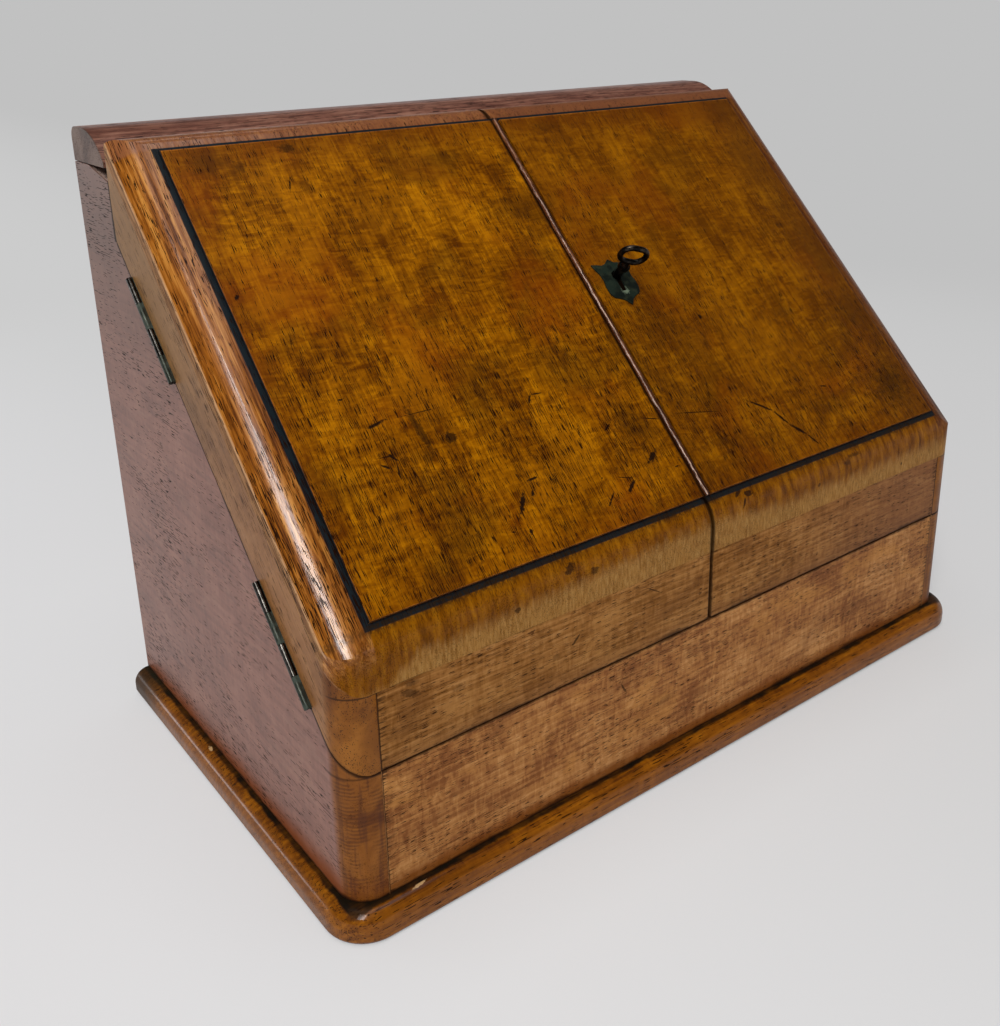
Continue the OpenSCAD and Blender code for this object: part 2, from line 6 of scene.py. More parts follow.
import bmesh
import bpy
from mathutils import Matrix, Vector

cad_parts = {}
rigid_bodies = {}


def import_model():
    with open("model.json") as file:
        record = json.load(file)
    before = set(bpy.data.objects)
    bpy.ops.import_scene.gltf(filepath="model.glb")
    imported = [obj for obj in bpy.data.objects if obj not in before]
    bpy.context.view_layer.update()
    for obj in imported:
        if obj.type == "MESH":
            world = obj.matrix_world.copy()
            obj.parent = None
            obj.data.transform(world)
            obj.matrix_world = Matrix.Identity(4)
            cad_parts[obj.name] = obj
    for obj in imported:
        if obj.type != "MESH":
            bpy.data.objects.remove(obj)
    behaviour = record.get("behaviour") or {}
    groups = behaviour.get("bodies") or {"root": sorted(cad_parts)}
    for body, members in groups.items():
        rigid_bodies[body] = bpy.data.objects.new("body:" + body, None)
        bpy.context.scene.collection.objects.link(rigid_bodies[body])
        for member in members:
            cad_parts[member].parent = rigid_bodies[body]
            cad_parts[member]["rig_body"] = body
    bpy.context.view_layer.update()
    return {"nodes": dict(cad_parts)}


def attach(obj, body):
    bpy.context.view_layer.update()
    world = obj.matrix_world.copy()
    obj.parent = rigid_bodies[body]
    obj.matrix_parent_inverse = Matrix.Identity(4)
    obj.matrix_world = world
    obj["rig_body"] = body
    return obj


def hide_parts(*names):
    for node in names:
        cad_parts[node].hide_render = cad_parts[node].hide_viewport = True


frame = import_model()

MM = 0.001
ROOT2 = math.sqrt(2.0)
# Sizes shared with the CAD, in metres.
HALF_W = 183 * MM
SIDE_T = 15 * MM
JOINT_X = HALF_W - SIDE_T
BASE_T = 13 * MM
SEAM_Z = 67 * MM
UNDER_Z = 100 * MM
UNDER_N = 23.335 * MM
DOOR_BACK = 169.5 * MM
BODY_D = 210 * MM
FIELD_N = 37.335 * MM
FIELD_LO = 44.3 * MM
FIELD_HI = 254.0 * MM
FIELD_X = 166.0 * MM
QUIRK_W = 2.2 * MM
SIDE_TOP_N = 28.93 * MM
CORNER_R = 12 * MM
# Middle of the keyhole and of the pale foot below it, in millimetres up the slope.
KEYHOLE = (19.4, 153.5)
KEYHOLE_FOOT = (19.4, 148.5)
# How the pieces' edges are eased and shaded.
MERGE_WITHIN = 2e-6
FLAT_ANGLE = math.radians(0.6)
EDGE_ANGLE = math.radians(32)
SMOOTH_ANGLE = math.radians(50)
SOCKET = bpy.types.NodeSocket


# Node building

class Graph:
    """Adds nodes to one node tree, each fed by values or by other nodes' sockets."""

    def __init__(self, tree):
        self.tree = tree

    def node(self, kind, feeds=None, **settings):
        made = self.tree.nodes.new(kind)
        for name, value in settings.items():
            setattr(made, name, value)
        for key, value in (feeds or {}).items():
            if isinstance(value, SOCKET):
                self.tree.links.new(value, made.inputs[key])
            else:
                made.inputs[key].default_value = value
        return made

    def math(self, operation, *values, clamp=False):
        return self.node("ShaderNodeMath", dict(enumerate(values)), operation=operation, use_clamp=clamp).outputs[0]

    def product(self, *values):
        total = values[0]
        for value in values[1:]:
            total = self.math("MULTIPLY", total, value)
        return total

    def fade(self, value, low, high, start=0.0, end=1.0):
        feeds = {"Value": value, "From Min": low, "From Max": high, "To Min": start, "To Max": end}
        return self.node("ShaderNodeMapRange", feeds, interpolation_type="SMOOTHSTEP").outputs[0]

    def noise(self, vector, scale=1.0, detail=2.0, roughness=0.5, distortion=0.0):
        feeds = {"Vector": vector, "Scale": scale, "Detail": detail, "Roughness": roughness, "Distortion": distortion}
        return self.node("ShaderNodeTexNoise", feeds).outputs[0]

    def wobble(self, vector, scale, size, detail=3.0):
        """A length that wanders by up to size either way."""
        return self.math("MULTIPLY_ADD", self.noise(vector, scale, detail, 0.6), 4.0 * size, -2.0 * size)

    def mix(self, factor, first, second, blend="MIX"):
        feeds = {0: factor, 6: first, 7: second}
        return self.node("ShaderNodeMix", feeds, data_type="RGBA", blend_type=blend).outputs[2]

    def ramp(self, value, stops):
        made = self.node("ShaderNodeValToRGB", {0: value})
        ramp = made.color_ramp
        while len(ramp.elements) < len(stops):
            ramp.elements.new(0.5)
        for element, (place, colour) in zip(ramp.elements, stops):
            element.position = place
            element.color = colour
        return made.outputs[0]

    def vector(self, operation, first, second):
        return self.node("ShaderNodeVectorMath", {0: first, 1: second}, operation=operation).outputs[0]

    def scaled(self, vector, scale):
        return self.vector("MULTIPLY", vector, scale)

    def combine(self, x, y, z):
        return self.node("ShaderNodeCombineXYZ", {0: x, 1: y, 2: z}).outputs[0]

    def separate(self, vector):
        return self.node("ShaderNodeSeparateXYZ", {0: vector}).outputs

    def use(self, group, feeds):
        return self.node("ShaderNodeGroup", feeds, node_tree=group).outputs


def new_group(name, inputs, outputs):
    """An empty node group with its sockets, as (group, graph, input sockets, output node)."""
    group = bpy.data.node_groups.new(name, "ShaderNodeTree")
    for label, kind in inputs:
        group.interface.new_socket(label, in_out="INPUT", socket_type="NodeSocket" + kind)
    for label, kind in outputs:
        group.interface.new_socket(label, in_out="OUTPUT", socket_type="NodeSocket" + kind)
    graph = Graph(group)
    return group, graph, graph.node("NodeGroupInput").outputs, graph.node("NodeGroupOutput").inputs


def srgb(red, green, blue):
    """A colour given as 0 to 255 on screen, as linear values."""
    def line(value):
        value /= 255.0
        return value / 12.92 if value <= 0.04045 else ((value + 0.055) / 1.055) ** 2.4
    return (line(red), line(green), line(blue), 1.0)


# Shared effects

GRAIN_LAYERS = ("Pore", "Fibre", "Ring", "Ray", "Figure", "Streak")
# Where the tree's heart lies from the piece's origin, across the grain.
HEART = (-0.035, -0.075)
# How far the pore noise rises past its limit before a pore is fully dark.
PORE_EDGE = 0.018


def make_grain():
    """Oak in the round, X along the grain: pores, fibre, rings, rays across the grain, cloudy figure, long streaks."""
    group, g, given, out = new_group(
        "oak_grain",
        [("Vector", "Vector"), ("Pore Size", "Vector"), ("Pore Limit", "Float"), ("Ring Width", "Float"),
         ("Seed", "Float")],
        [(label, "Float") for label in GRAIN_LAYERS],
    )
    seed = g.combine(given["Seed"], g.math("MULTIPLY", given["Seed"], 0.37), g.math("MULTIPLY", given["Seed"], 0.71))
    place = g.vector("ADD", given["Vector"], seed)
    sway = g.noise(g.scaled(place, (7.0, 30.0, 30.0)), 1.0, 2.0, 0.5)
    x, y, z = g.separate(given["Vector"])
    across = g.math("ADD", y, -HEART[0])
    depth = g.math("ADD", z, -HEART[1])
    radius = g.math("SQRT", g.math("ADD", g.math("POWER", across, 2.0), g.math("POWER", depth, 2.0)))
    swayed = g.math("MULTIPLY_ADD", sway, 0.018, radius)
    turn = g.math("FRACT", g.math("DIVIDE", swayed, given["Ring Width"]))
    early = g.math("MULTIPLY", g.fade(turn, 0.0, 0.12), g.fade(turn, 0.2, 0.85, 1.0, 0.0))
    cluster = g.noise(g.scaled(place, (26.0, 85.0, 85.0)), 1.0, 2.0, 0.5)
    pore_noise = g.noise(g.vector("DIVIDE", place, given["Pore Size"]), 1.0, 1.0, 0.3)
    limit = g.math("MULTIPLY_ADD", g.fade(cluster, 0.38, 0.62), -0.07, given["Pore Limit"])
    limit = g.math("MULTIPLY_ADD", early, -0.03, limit)
    pore = g.fade(g.math("SUBTRACT", pore_noise, limit), 0.0, PORE_EDGE)
    fibre = g.noise(g.scaled(place, (45.0, 900.0, 900.0)), 1.0, 3.0, 0.6)
    ray = g.noise(g.scaled(place, (340.0, 105.0, 105.0)), 1.0, 3.0, 0.6, 1.0)
    figure = g.noise(g.scaled(place, (32.0, 50.0, 50.0)), 1.0, 4.0, 0.62, 0.6)
    streak = g.noise(g.scaled(place, (9.0, 330.0, 330.0)), 1.0, 3.0, 0.65)
    for label, value in zip(GRAIN_LAYERS, (pore, fibre, early, ray, figure, streak)):
        g.tree.links.new(value, out[label])
    return group


def make_band():
    """1 inside a band of Value round Centre, fading to 0 over Soft beyond Half."""
    group, g, given, out = new_group(
        "band",
        [("Value", "Float"), ("Centre", "Float"), ("Half", "Float"), ("Soft", "Float")],
        [("Mask", "Float")],
    )
    away = g.math("ABSOLUTE", g.math("SUBTRACT", given["Value"], given["Centre"]))
    past = g.math("DIVIDE", g.math("SUBTRACT", away, given["Half"]), given["Soft"])
    g.tree.links.new(g.fade(past, 0.0, 1.0, 1.0, 0.0), out["Mask"])
    return group


def make_spot():
    """An oval mark: Size is its half lengths, Turn its angle, Ragged a noise that eats into its edge."""
    group, g, given, out = new_group(
        "spot",
        [("Vector", "Vector"), ("Centre", "Vector"), ("Turn", "Vector"), ("Size", "Vector"), ("Ragged", "Float"),
         ("Soft", "Float")],
        [("Mask", "Float")],
    )
    unit = g.node("ShaderNodeMapping", {
        "Vector": given["Vector"], "Location": given["Centre"], "Rotation": given["Turn"], "Scale": given["Size"]},
        vector_type="TEXTURE").outputs[0]
    far = g.node("ShaderNodeVectorMath", {0: unit}, operation="LENGTH").outputs["Value"]
    # the noise is near 0.5, so that 1.4 times it, less 0.7, eats in and out alike
    eaten = g.math("MULTIPLY_ADD", given["Ragged"], 1.4, g.math("SUBTRACT", far, 0.7))
    edge = g.math("SUBTRACT", 1.0, given["Soft"])
    share = g.math("DIVIDE", g.math("SUBTRACT", eaten, edge), given["Soft"])
    g.tree.links.new(g.fade(share, 0.0, 1.0, 1.0, 0.0), out["Mask"])
    return group


GRAIN = make_grain()
BAND = make_band()
SPOT = make_spot()


class Place:
    """Where a shading point is: plain X, Y, Z, and the slope's X, U up the slope and N square to it."""

    def __init__(self, g):
        self.plain = g.node("ShaderNodeTexCoord").outputs["Object"]
        shift = -SEAM_Z / ROOT2
        self.slope = g.node("ShaderNodeMapping", {
            "Vector": self.plain, "Rotation": (-math.pi / 4, 0.0, 0.0), "Location": (0.0, shift, shift)}).outputs[0]
        self.x, self.y, self.z = g.separate(self.plain)
        slope_parts = g.separate(self.slope)
        self.u = slope_parts[1]
        self.n = slope_parts[2]
        self.reach = g.math("ABSOLUTE", self.x)


class Skin:
    """The colour, coat, roughness and share of pores of an oak surface while its finish is built up."""

    def __init__(self, g, colour, rough, coat):
        self.g = g
        self.colour = colour
        self.rough = rough
        self.coat = coat
        self.pores = 0.9
        self.polished = 1.0

    def soil(self, mask, colour, strength=1.0, rough=None):
        """A tint that takes the polish away."""
        self.tint(mask, colour, strength, rough)
        self.polished = self.g.product(self.g.math("MULTIPLY_ADD", mask, -strength, 1.0), self.polished)

    def tint(self, mask, colour, strength=1.0, rough=None):
        factor = self.g.math("MULTIPLY", mask, strength)
        self.colour = self.g.mix(factor, self.colour, colour)
        if rough is not None:
            feeds = {0: factor, 2: self.rough, 3: rough}
            self.rough = self.g.node("ShaderNodeMix", feeds, data_type="FLOAT").outputs[0]


def band(g, value, centre, half, soft):
    return g.use(BAND, {"Value": value, "Centre": centre, "Half": half, "Soft": soft})[0]


def spot(g, vector, ragged, centre, size, turn=0.0, soft=0.3):
    """An oval mark in the vector's first two axes, lengths in millimetres and turn in degrees."""
    return g.use(SPOT, {
        "Vector": vector, "Centre": (centre[0] * MM, centre[1] * MM, 0.0), "Turn": (0.0, 0.0, math.radians(turn)),
        "Size": (size[0] * MM, size[1] * MM, 1000.0), "Ragged": ragged, "Soft": soft})[0]


def scratch(g, vector, ragged, start, end, width, soft=0.5):
    """A thin mark from start to end."""
    middle = ((start[0] + end[0]) / 2, (start[1] + end[1]) / 2)
    run = (end[0] - start[0], end[1] - start[1])
    half = math.hypot(*run) / 2
    return spot(g, vector, ragged, middle, (half * 1.15, width), math.degrees(math.atan2(run[1], run[0])), soft)


def deepest(g, masks):
    total = masks[0]
    for mask in masks[1:]:
        total = g.math("MAXIMUM", total, mask)
    return total


# Oak

def stops(tones, spread=0.13):
    """Dark, middle and light tones, set on a ramp round its middle."""
    return [(round(0.5 + share * spread, 3), tone) for share, tone in zip((-1, 0, 1), tones)]


def oak(name, tones, axes, pore=(4.0, 0.5), limit=0.70, ring=(4.0, 0.1), weights=(0.4, 0.4, 0.3), seed=0.0,
        gloss=0.34, shine=0.12, coat=0.08, coat_rough=0.16, finish=None, relief=0.3, crowd=None):
    """Oak whose tones are dark, middle, light and pore. axes turns the coordinates so that X runs along the grain.
    weights are the shares of figure, fibre and ray. finish(g, at, skin, layer) adds the local colour and wear.
    crowd(g, at) is added to the pore limit, so that pores lie closer where it is below 0."""
    material = bpy.data.materials.new(name)
    material.use_nodes = True
    g = Graph(material.node_tree)
    shader = material.node_tree.nodes["Principled BSDF"]
    at = Place(g)
    if crowd:
        limit = g.math("ADD", crowd(g, at), limit)
    sockets = g.use(GRAIN, {
        "Vector": axes(g, at), "Pore Size": (pore[0] * MM, pore[1] * MM, pore[1] * MM), "Pore Limit": limit,
        "Ring Width": ring[0] * MM, "Seed": seed})
    layer = {label: sockets[label] for label in GRAIN_LAYERS}
    level = g.math("MULTIPLY_ADD", layer["Figure"], weights[0], 0.5 - sum(weights) / 2)
    level = g.math("MULTIPLY_ADD", layer["Fibre"], weights[1], level)
    level = g.math("MULTIPLY_ADD", layer["Ray"], weights[2], level)
    layer["Level"] = g.math("MULTIPLY_ADD", layer["Ring"], -ring[1], level)
    colour = g.ramp(layer["Level"], stops(tones))
    rough = g.math("MULTIPLY_ADD", layer["Fibre"], 0.12, gloss)
    skin = Skin(g, colour, rough, coat)
    if finish:
        finish(g, at, skin, layer)
    colour = g.mix(g.math("MULTIPLY", layer["Pore"], skin.pores), skin.colour, tones[3])
    g.tree.links.new(colour, shader.inputs["Base Color"])
    g.tree.links.new(g.math("MULTIPLY_ADD", layer["Pore"], 0.2, skin.rough), shader.inputs["Roughness"])
    shader.inputs["Specular IOR Level"].default_value = shine
    shader.inputs["Coat Roughness"].default_value = coat_rough
    open_pores = g.math("MULTIPLY_ADD", layer["Pore"], -0.85, 1.0)
    g.tree.links.new(g.product(open_pores, skin.coat, skin.polished), shader.inputs["Coat Weight"])
    height = g.math("MULTIPLY_ADD", layer["Fibre"], 0.35, g.math("MULTIPLY", layer["Pore"], -1.0))
    bump = g.node("ShaderNodeBump", {"Height": height, "Strength": relief, "Distance": 0.0004}).outputs[0]
    g.tree.links.new(bump, shader.inputs["Normal"])
    return material


def grain_up_slope(g, at):
    return g.combine(at.u, at.x, at.n)


def grain_across(g, at):
    return at.plain


def grain_back(g, at):
    return g.combine(at.y, at.z, at.x)


# Tones of each oak: dark, middle, light and pore.
GOLD = (srgb(88, 44, 0), srgb(134, 78, 0), srgb(176, 111, 3), srgb(28, 9, 0))
RUSSET = (srgb(56, 26, 10), srgb(92, 50, 24), srgb(128, 80, 46), srgb(30, 14, 6))
TAN = (srgb(103, 64, 31), srgb(132, 89, 50), srgb(158, 115, 74), srgb(58, 34, 16))
RAIL = (srgb(110, 68, 26), srgb(146, 99, 50), srgb(172, 124, 72), srgb(50, 26, 12))
BROWN = (srgb(126, 76, 38), srgb(165, 111, 60), srgb(192, 139, 84), srgb(54, 28, 14))
# ROSE is partly painted reflection: its rosy cast takes in pale haze that the polished boards reflect
ROSE = (srgb(104, 59, 43), srgb(129, 82, 65), srgb(148, 101, 83), srgb(26, 10, 8))
DARK = (srgb(80, 38, 0), srgb(122, 68, 2), srgb(156, 95, 8), srgb(28, 12, 0))
LID = (srgb(92, 54, 42), srgb(122, 80, 64), srgb(146, 104, 86), srgb(50, 26, 20))
# REST is lightened to look lit: painted light on the lid rests, which sit in the lid's shade
REST = (srgb(84, 66, 56), srgb(112, 92, 80), srgb(132, 112, 98), srgb(50, 34, 26))
INNER = (srgb(110, 70, 34), srgb(146, 100, 56), srgb(172, 126, 78), srgb(66, 40, 22))

# Tones of single parts of a piece, and of dirt.
CHEEK_TONES = stops((srgb(108, 68, 32), srgb(138, 94, 52), srgb(164, 120, 76)))
INNER_TONES = stops(INNER)
THUMB_TONES = stops((srgb(76, 34, 2), srgb(146, 84, 20), srgb(196, 132, 54)), 0.12)
CORNER_TONES = stops((srgb(92, 48, 8), srgb(125, 73, 16), srgb(148, 92, 28)), 0.14)
SHOULDER_TONES = stops((srgb(90, 48, 0), srgb(124, 72, 1), srgb(150, 95, 8)), 0.16)
END_GRAIN_TONES = stops((srgb(134, 92, 42), srgb(160, 116, 60), srgb(180, 138, 80)), 0.2)
LID_END_TONES = stops((srgb(74, 56, 46), srgb(94, 74, 64), srgb(110, 90, 78)), 0.12)
BLACK = srgb(20, 12, 6)
SOOT = srgb(24, 14, 10)
RUST = srgb(128, 64, 20)

# Dents on the slope, in millimetres as X and U: start, end and half width.
DENTS = [
    ((-135.0, 114.2), (-125.5, 116.2), 0.9), ((-121.5, 115.7), (-100.7, 115.4), 0.25),
    ((-131.8, 103.0), (-128.0, 98.0), 0.8), ((-136.5, 99.0), (-132.5, 96.2), 0.6),
    ((-129.5, 98.0), (-130.5, 91.0), 0.4), ((-136.0, 101.5), (-129.0, 101.0), 0.3),
    ((-79.5, 75.3), (-73.9, 75.7), 0.7), ((-83.2, 72.0), (-89.6, 62.6), 1.3), ((-79.0, 71.0), (-80.5, 68.5), 0.8),
    ((-88.0, 56.5), (-89.5, 54.0), 1.0), ((-96.0, 58.0), (-96.5, 57.0), 0.7), ((-19.2, 66.0), (-11.5, 71.2), 1.7),
    ((-36.8, 56.5), (-30.0, 61.8), 1.2), ((-38.1, 64.9), (-30.8, 62.3), 0.35), ((-43.3, 59.3), (-49.3, 54.1), 0.6),
    ((-45.6, 66.8), (-45.2, 66.2), 0.7), ((-57.7, 111.2), (-61.5, 105.8), 0.6), ((-58.5, 110.5), (-51.6, 109.9), 0.4),
    ((-32.0, 85.5), (-27.5, 88.2), 0.6), ((-7.2, 60.8), (-4.5, 61.0), 0.4), ((11.3, 83.3), (32.6, 78.8), 0.3),
    ((-9.9, 86.3), (-0.9, 83.4), 0.35), ((53.4, 126.4), (55.4, 126.4), 1.6), ((36.8, 185.8), (37.4, 184.8), 0.6),
    ((102.0, 75.2), (106.0, 74.2), 0.5), ((52.0, 80.0), (64.5, 70.5), 0.8), ((64.0, 70.8), (69.2, 61.5), 0.8),
    ((69.0, 62.0), (75.9, 54.7), 1.1), ((75.7, 55.0), (79.8, 47.6), 0.6), ((-116.9, 233.5), (-119.4, 226.8), 0.45),
    ((-80.0, 217.5), (-80.8, 213.5), 0.35), ((-160.6, 182.0), (-162.2, 179.4), 1.2),
    ((-141.0, 128.5), (-138.0, 128.8), 0.7),
]
# Stains on the slope: X and U, half lengths, turn in degrees, strength and softness. The large soft one round the
# keyhole is grime with a painted shadow of the escutcheon in it.
STAINS = [
    ((-102.6, 101.8), (2.9, 3.0), 0.0, 0.9, 0.35), ((-114.0, 109.0), (13.5, 2.2), 98.0, 0.75, 0.5),
    ((-115.5, 96.5), (3.2, 3.0), 0.0, 0.5, 0.5), ((-111.7, 249.0), (5.5, 3.0), 0.0, 0.75, 0.6),
    ((-136.0, 241.8), (3.5, 5.0), 0.0, 0.5, 0.7), ((-111.1, 227.9), (4.5, 6.0), 20.0, 0.4, 0.7),
    ((-122.0, 56.0), (16.0, 9.0), 10.0, 0.35, 0.9), ((150.0, 66.0), (19.0, 17.0), 20.0, 0.7, 0.95),
    ((-150.0, 246.0), (14.0, 7.0), 0.0, 0.35, 0.9), ((30.0, 247.0), (16.0, 6.0), 0.0, 0.35, 0.9),
    ((20.0, 154.0), (17.0, 17.0), 0.0, 0.55, 0.9), ((-40.0, 235.0), (30.0, 8.0), 5.0, 0.3, 0.95),
    ((45.0, 60.0), (26.0, 10.0), -10.0, 0.25, 0.95),
]
# Marks on the upright front: X and Z, half lengths, turn in degrees, strength and softness.
BOARD_MARKS = [
    ((-78.6, 117.7), (3.4, 2.2), 20.0, 0.8, 0.4), ((-66.9, 113.5), (2.6, 1.8), 0.0, 0.7, 0.4),
    ((-105.7, 109.8), (1.8, 1.3), 0.0, 0.7, 0.4), ((19.1, 121.1), (2.8, 1.0), 20.0, 0.9, 0.4),
    ((24.9, 119.8), (3.0, 1.3), 0.0, 0.9, 0.4), ((21.1, 116.9), (3.0, 0.7), 53.0, 0.9, 0.4),
    ((92.9, 116.7), (3.0, 1.6), 0.0, 0.55, 0.6), ((98.6, 118.9), (6.0, 1.2), 0.0, 0.65, 0.6),
    ((135.9, 105.1), (0.9, 0.9), 0.0, 0.7, 0.4), ((71.4, 111.5), (1.1, 1.1), 0.0, 0.7, 0.4),
]
RAIL_MARKS = [
    ((-154.2, 94.1), (5.0, 2.0), -20.0, 0.6, 0.5), ((-153.6, 98.0), (3.5, 1.6), 0.0, 0.5, 0.6),
    ((-77.2, 86.0), (3.4, 0.8), 43.0, 0.8, 0.4), ((-87.1, 82.3), (2.2, 1.8), 0.0, 0.4, 0.6),
    ((-34.5, 93.5), (6.7, 0.4), -31.0, 0.7, 0.5), ((-133.4, 87.8), (4.0, 2.0), 0.0, 0.4, 0.7),
]
FRONT_MARKS = [
    ((-50.9, 52.8), (3.6, 0.6), -61.0, 0.8, 0.4), ((136.9, 48.8), (1.1, 0.8), 0.0, 0.7, 0.4),
    ((130.7, 49.9), (0.9, 0.7), 0.0, 0.7, 0.4), ((-25.9, 36.9), (9.0, 3.0), 5.0, 0.35, 0.9),
]
# Chips on the base, seen from above: X and Y, half lengths and turn.
CHIPS = [((-185.4, 125.8), (0.9, 2.2), 0.0), ((-157.0, -2.6), (3.6, 0.7), 8.0)]


def front_marks(g, at, skin, marks):
    """Dark marks on the faces near the body's front plane."""
    ragged = g.noise(at.plain, 800.0, 2.0, 0.6)
    flat = g.combine(at.x, at.z, 0.0)
    outside = g.fade(at.y, CORNER_R, CORNER_R + 4 * MM, 1.0, 0.0)
    for centre, size, turn, strength, soft in marks:
        skin.soil(g.product(spot(g, flat, ragged, centre, size, turn, soft), outside), srgb(44, 24, 10), strength)


def board_field(g, at, skin, ragged):
    """The field: orange and olive clouds, the right door darker, a browner rim, stains and dents, and a painted
    highlight along its arris.
    """
    loose = g.wobble(at.plain, 260.0, 0.35 * MM)
    rim = g.math("ADD", g.math("SUBTRACT", FIELD_X, at.reach), loose)
    foot = g.math("ADD", g.math("SUBTRACT", at.u, FIELD_LO), loose)
    head = g.math("ADD", g.math("SUBTRACT", FIELD_HI, at.u), loose)
    near = g.math("MINIMUM", rim, g.math("MINIMUM", foot, head))
    inside = g.fade(near, -0.3 * MM, 0.2 * MM)
    cloud = g.noise(at.plain, 16.0, 3.0, 0.55)
    haze = g.noise(at.plain, 27.0, 3.0, 0.6, 0.5)
    skin.tint(g.fade(cloud, 0.48, 0.64), srgb(128, 58, 4), 0.45)
    skin.tint(g.fade(haze, 0.5, 0.66), srgb(84, 50, 4), 0.45)
    skin.tint(g.fade(haze, 0.5, 0.34), srgb(168, 104, 6), 0.3)
    skin.tint(g.fade(at.x, -6 * MM, 10 * MM), srgb(92, 50, 4), 0.38)
    skin.tint(g.product(inside, g.fade(near, 0.0, 14 * MM, 1.0, 0.0)), srgb(98, 46, 4), 0.35)
    skin.tint(g.product(inside, g.fade(head, 0.0, 26 * MM, 1.0, 0.0)), srgb(92, 46, 6), 0.4)
    skin.tint(g.product(inside, g.fade(at.x, 118 * MM, FIELD_X)), srgb(80, 46, 12), 0.5)
    for centre, size, turn, strength, soft in STAINS:
        skin.tint(spot(g, at.slope, ragged, centre, size, turn, soft), srgb(52, 28, 4), strength)
    cuts = deepest(g, [scratch(g, at.slope, ragged, start, end, width) for start, end, width in DENTS])
    skin.soil(g.product(cuts, inside), BLACK, 0.95, 0.6)
    # painted highlight: a bright orange line along the field's raised arris
    skin.tint(g.product(inside, g.fade(near, 0.1 * MM, 0.8 * MM, 1.0, 0.0)), srgb(196, 118, 40), 0.4)


def board_shoulder(g, at, skin):
    """The rounded shoulder, then the tan end grain on the front, as masks of both and of the end grain."""
    skew = g.fade(at.x, -140 * MM, -5 * MM, 7 * MM, 3 * MM)
    skew = g.math("ADD", skew, g.fade(at.x, -168 * MM, -148 * MM, 10 * MM, 0.0))
    skew = g.math("ADD", skew, g.fade(at.x, 5 * MM, 50 * MM, 0.0, 4 * MM))
    strands = g.wobble(g.scaled(at.plain, (1.0, 1.0, 0.1)), 420.0, 2.2 * MM)
    drop = g.math("ADD", g.math("ADD", g.math("ADD", at.z, skew), strands), g.wobble(at.plain, 45.0, 1.0 * MM))
    below = g.product(g.fade(at.u, FIELD_LO - 1.0 * MM, FIELD_LO, 1.0, 0.0), g.fade(at.y, 20 * MM, 30 * MM, 1.0, 0.0))
    patchy = g.noise(g.scaled(at.plain, (330.0, 60.0, 75.0)), 1.0, 4.0, 0.6)
    skin.tint(below, g.ramp(patchy, SHOULDER_TONES), 0.88)
    ends = g.noise(g.scaled(at.plain, (900.0, 300.0, 200.0)), 1.0, 3.0, 0.6)
    tan = g.product(below, g.fade(drop, 112.5 * MM, 119.5 * MM, 1.0, 0.0))
    skin.tint(tan, g.ramp(ends, END_GRAIN_TONES), 0.88)
    return below, tan


def board_thumb(g, at, skin, layer):
    """The thumb mould, streaked along its run and darker on the right door, as a mask."""
    outer = g.math("MAXIMUM", g.fade(at.reach, FIELD_X + 0.6 * MM, FIELD_X + 1.4 * MM),
                   g.fade(at.u, FIELD_HI, FIELD_HI + 1 * MM))
    thumb = g.product(outer, g.fade(at.u, FIELD_LO - 16 * MM, FIELD_LO - 4 * MM))
    strips = g.math("MULTIPLY_ADD", layer["Fibre"], 0.55, g.math("MULTIPLY", layer["Streak"], 0.45))
    skin.tint(thumb, g.ramp(strips, THUMB_TONES), 0.92)
    beside_quirk = g.fade(at.reach, FIELD_X + 2 * MM, FIELD_X + 8 * MM, 1.0, 0.0)
    skin.tint(g.product(thumb, beside_quirk), srgb(92, 48, 22), 0.35)
    skin.tint(g.product(thumb, g.fade(at.x, 0.0, 20 * MM)), srgb(70, 32, 12), 0.7)
    return thumb


def board_quirk(g, at, skin, ragged, below, on_top):
    """The quirk round the field, wide beside and below it and a thin line above, and the dirt smeared from its foot."""
    tall = band(g, at.u, (FIELD_LO + FIELD_HI) / 2, (FIELD_HI - FIELD_LO) / 2 + QUIRK_W, 0.4 * MM)
    beside = g.product(band(g, at.reach, FIELD_X + QUIRK_W / 2, QUIRK_W / 2, 0.5 * MM), tall)
    within = g.fade(at.reach, FIELD_X + QUIRK_W, FIELD_X + QUIRK_W + 0.5 * MM, 1.0, 0.0)
    lower = g.product(band(g, at.u, FIELD_LO - QUIRK_W / 2, QUIRK_W / 2, 0.6 * MM), within)
    upper = g.product(band(g, at.u, FIELD_HI + QUIRK_W / 2, QUIRK_W / 2, 0.3 * MM), within)
    groove = g.product(deepest(g, [beside, lower, upper]), on_top)
    # the quirk is stained near black; its blue-grey cast is a painted reflection
    skin.soil(groove, srgb(17, 30, 36), 0.98, 0.4)
    dirt = g.product(g.fade(g.math("SUBTRACT", FIELD_LO - QUIRK_W, at.u), 0.0, 3.0 * MM, 1.0, 0.0), below)
    smear = g.fade(g.noise(at.plain, 40.0, 3.0, 0.6), 0.35, 0.6, 0.35, 1.0)
    skin.tint(g.product(dirt, g.fade(ragged, 0.3, 0.6), smear), srgb(44, 28, 10), 0.85)


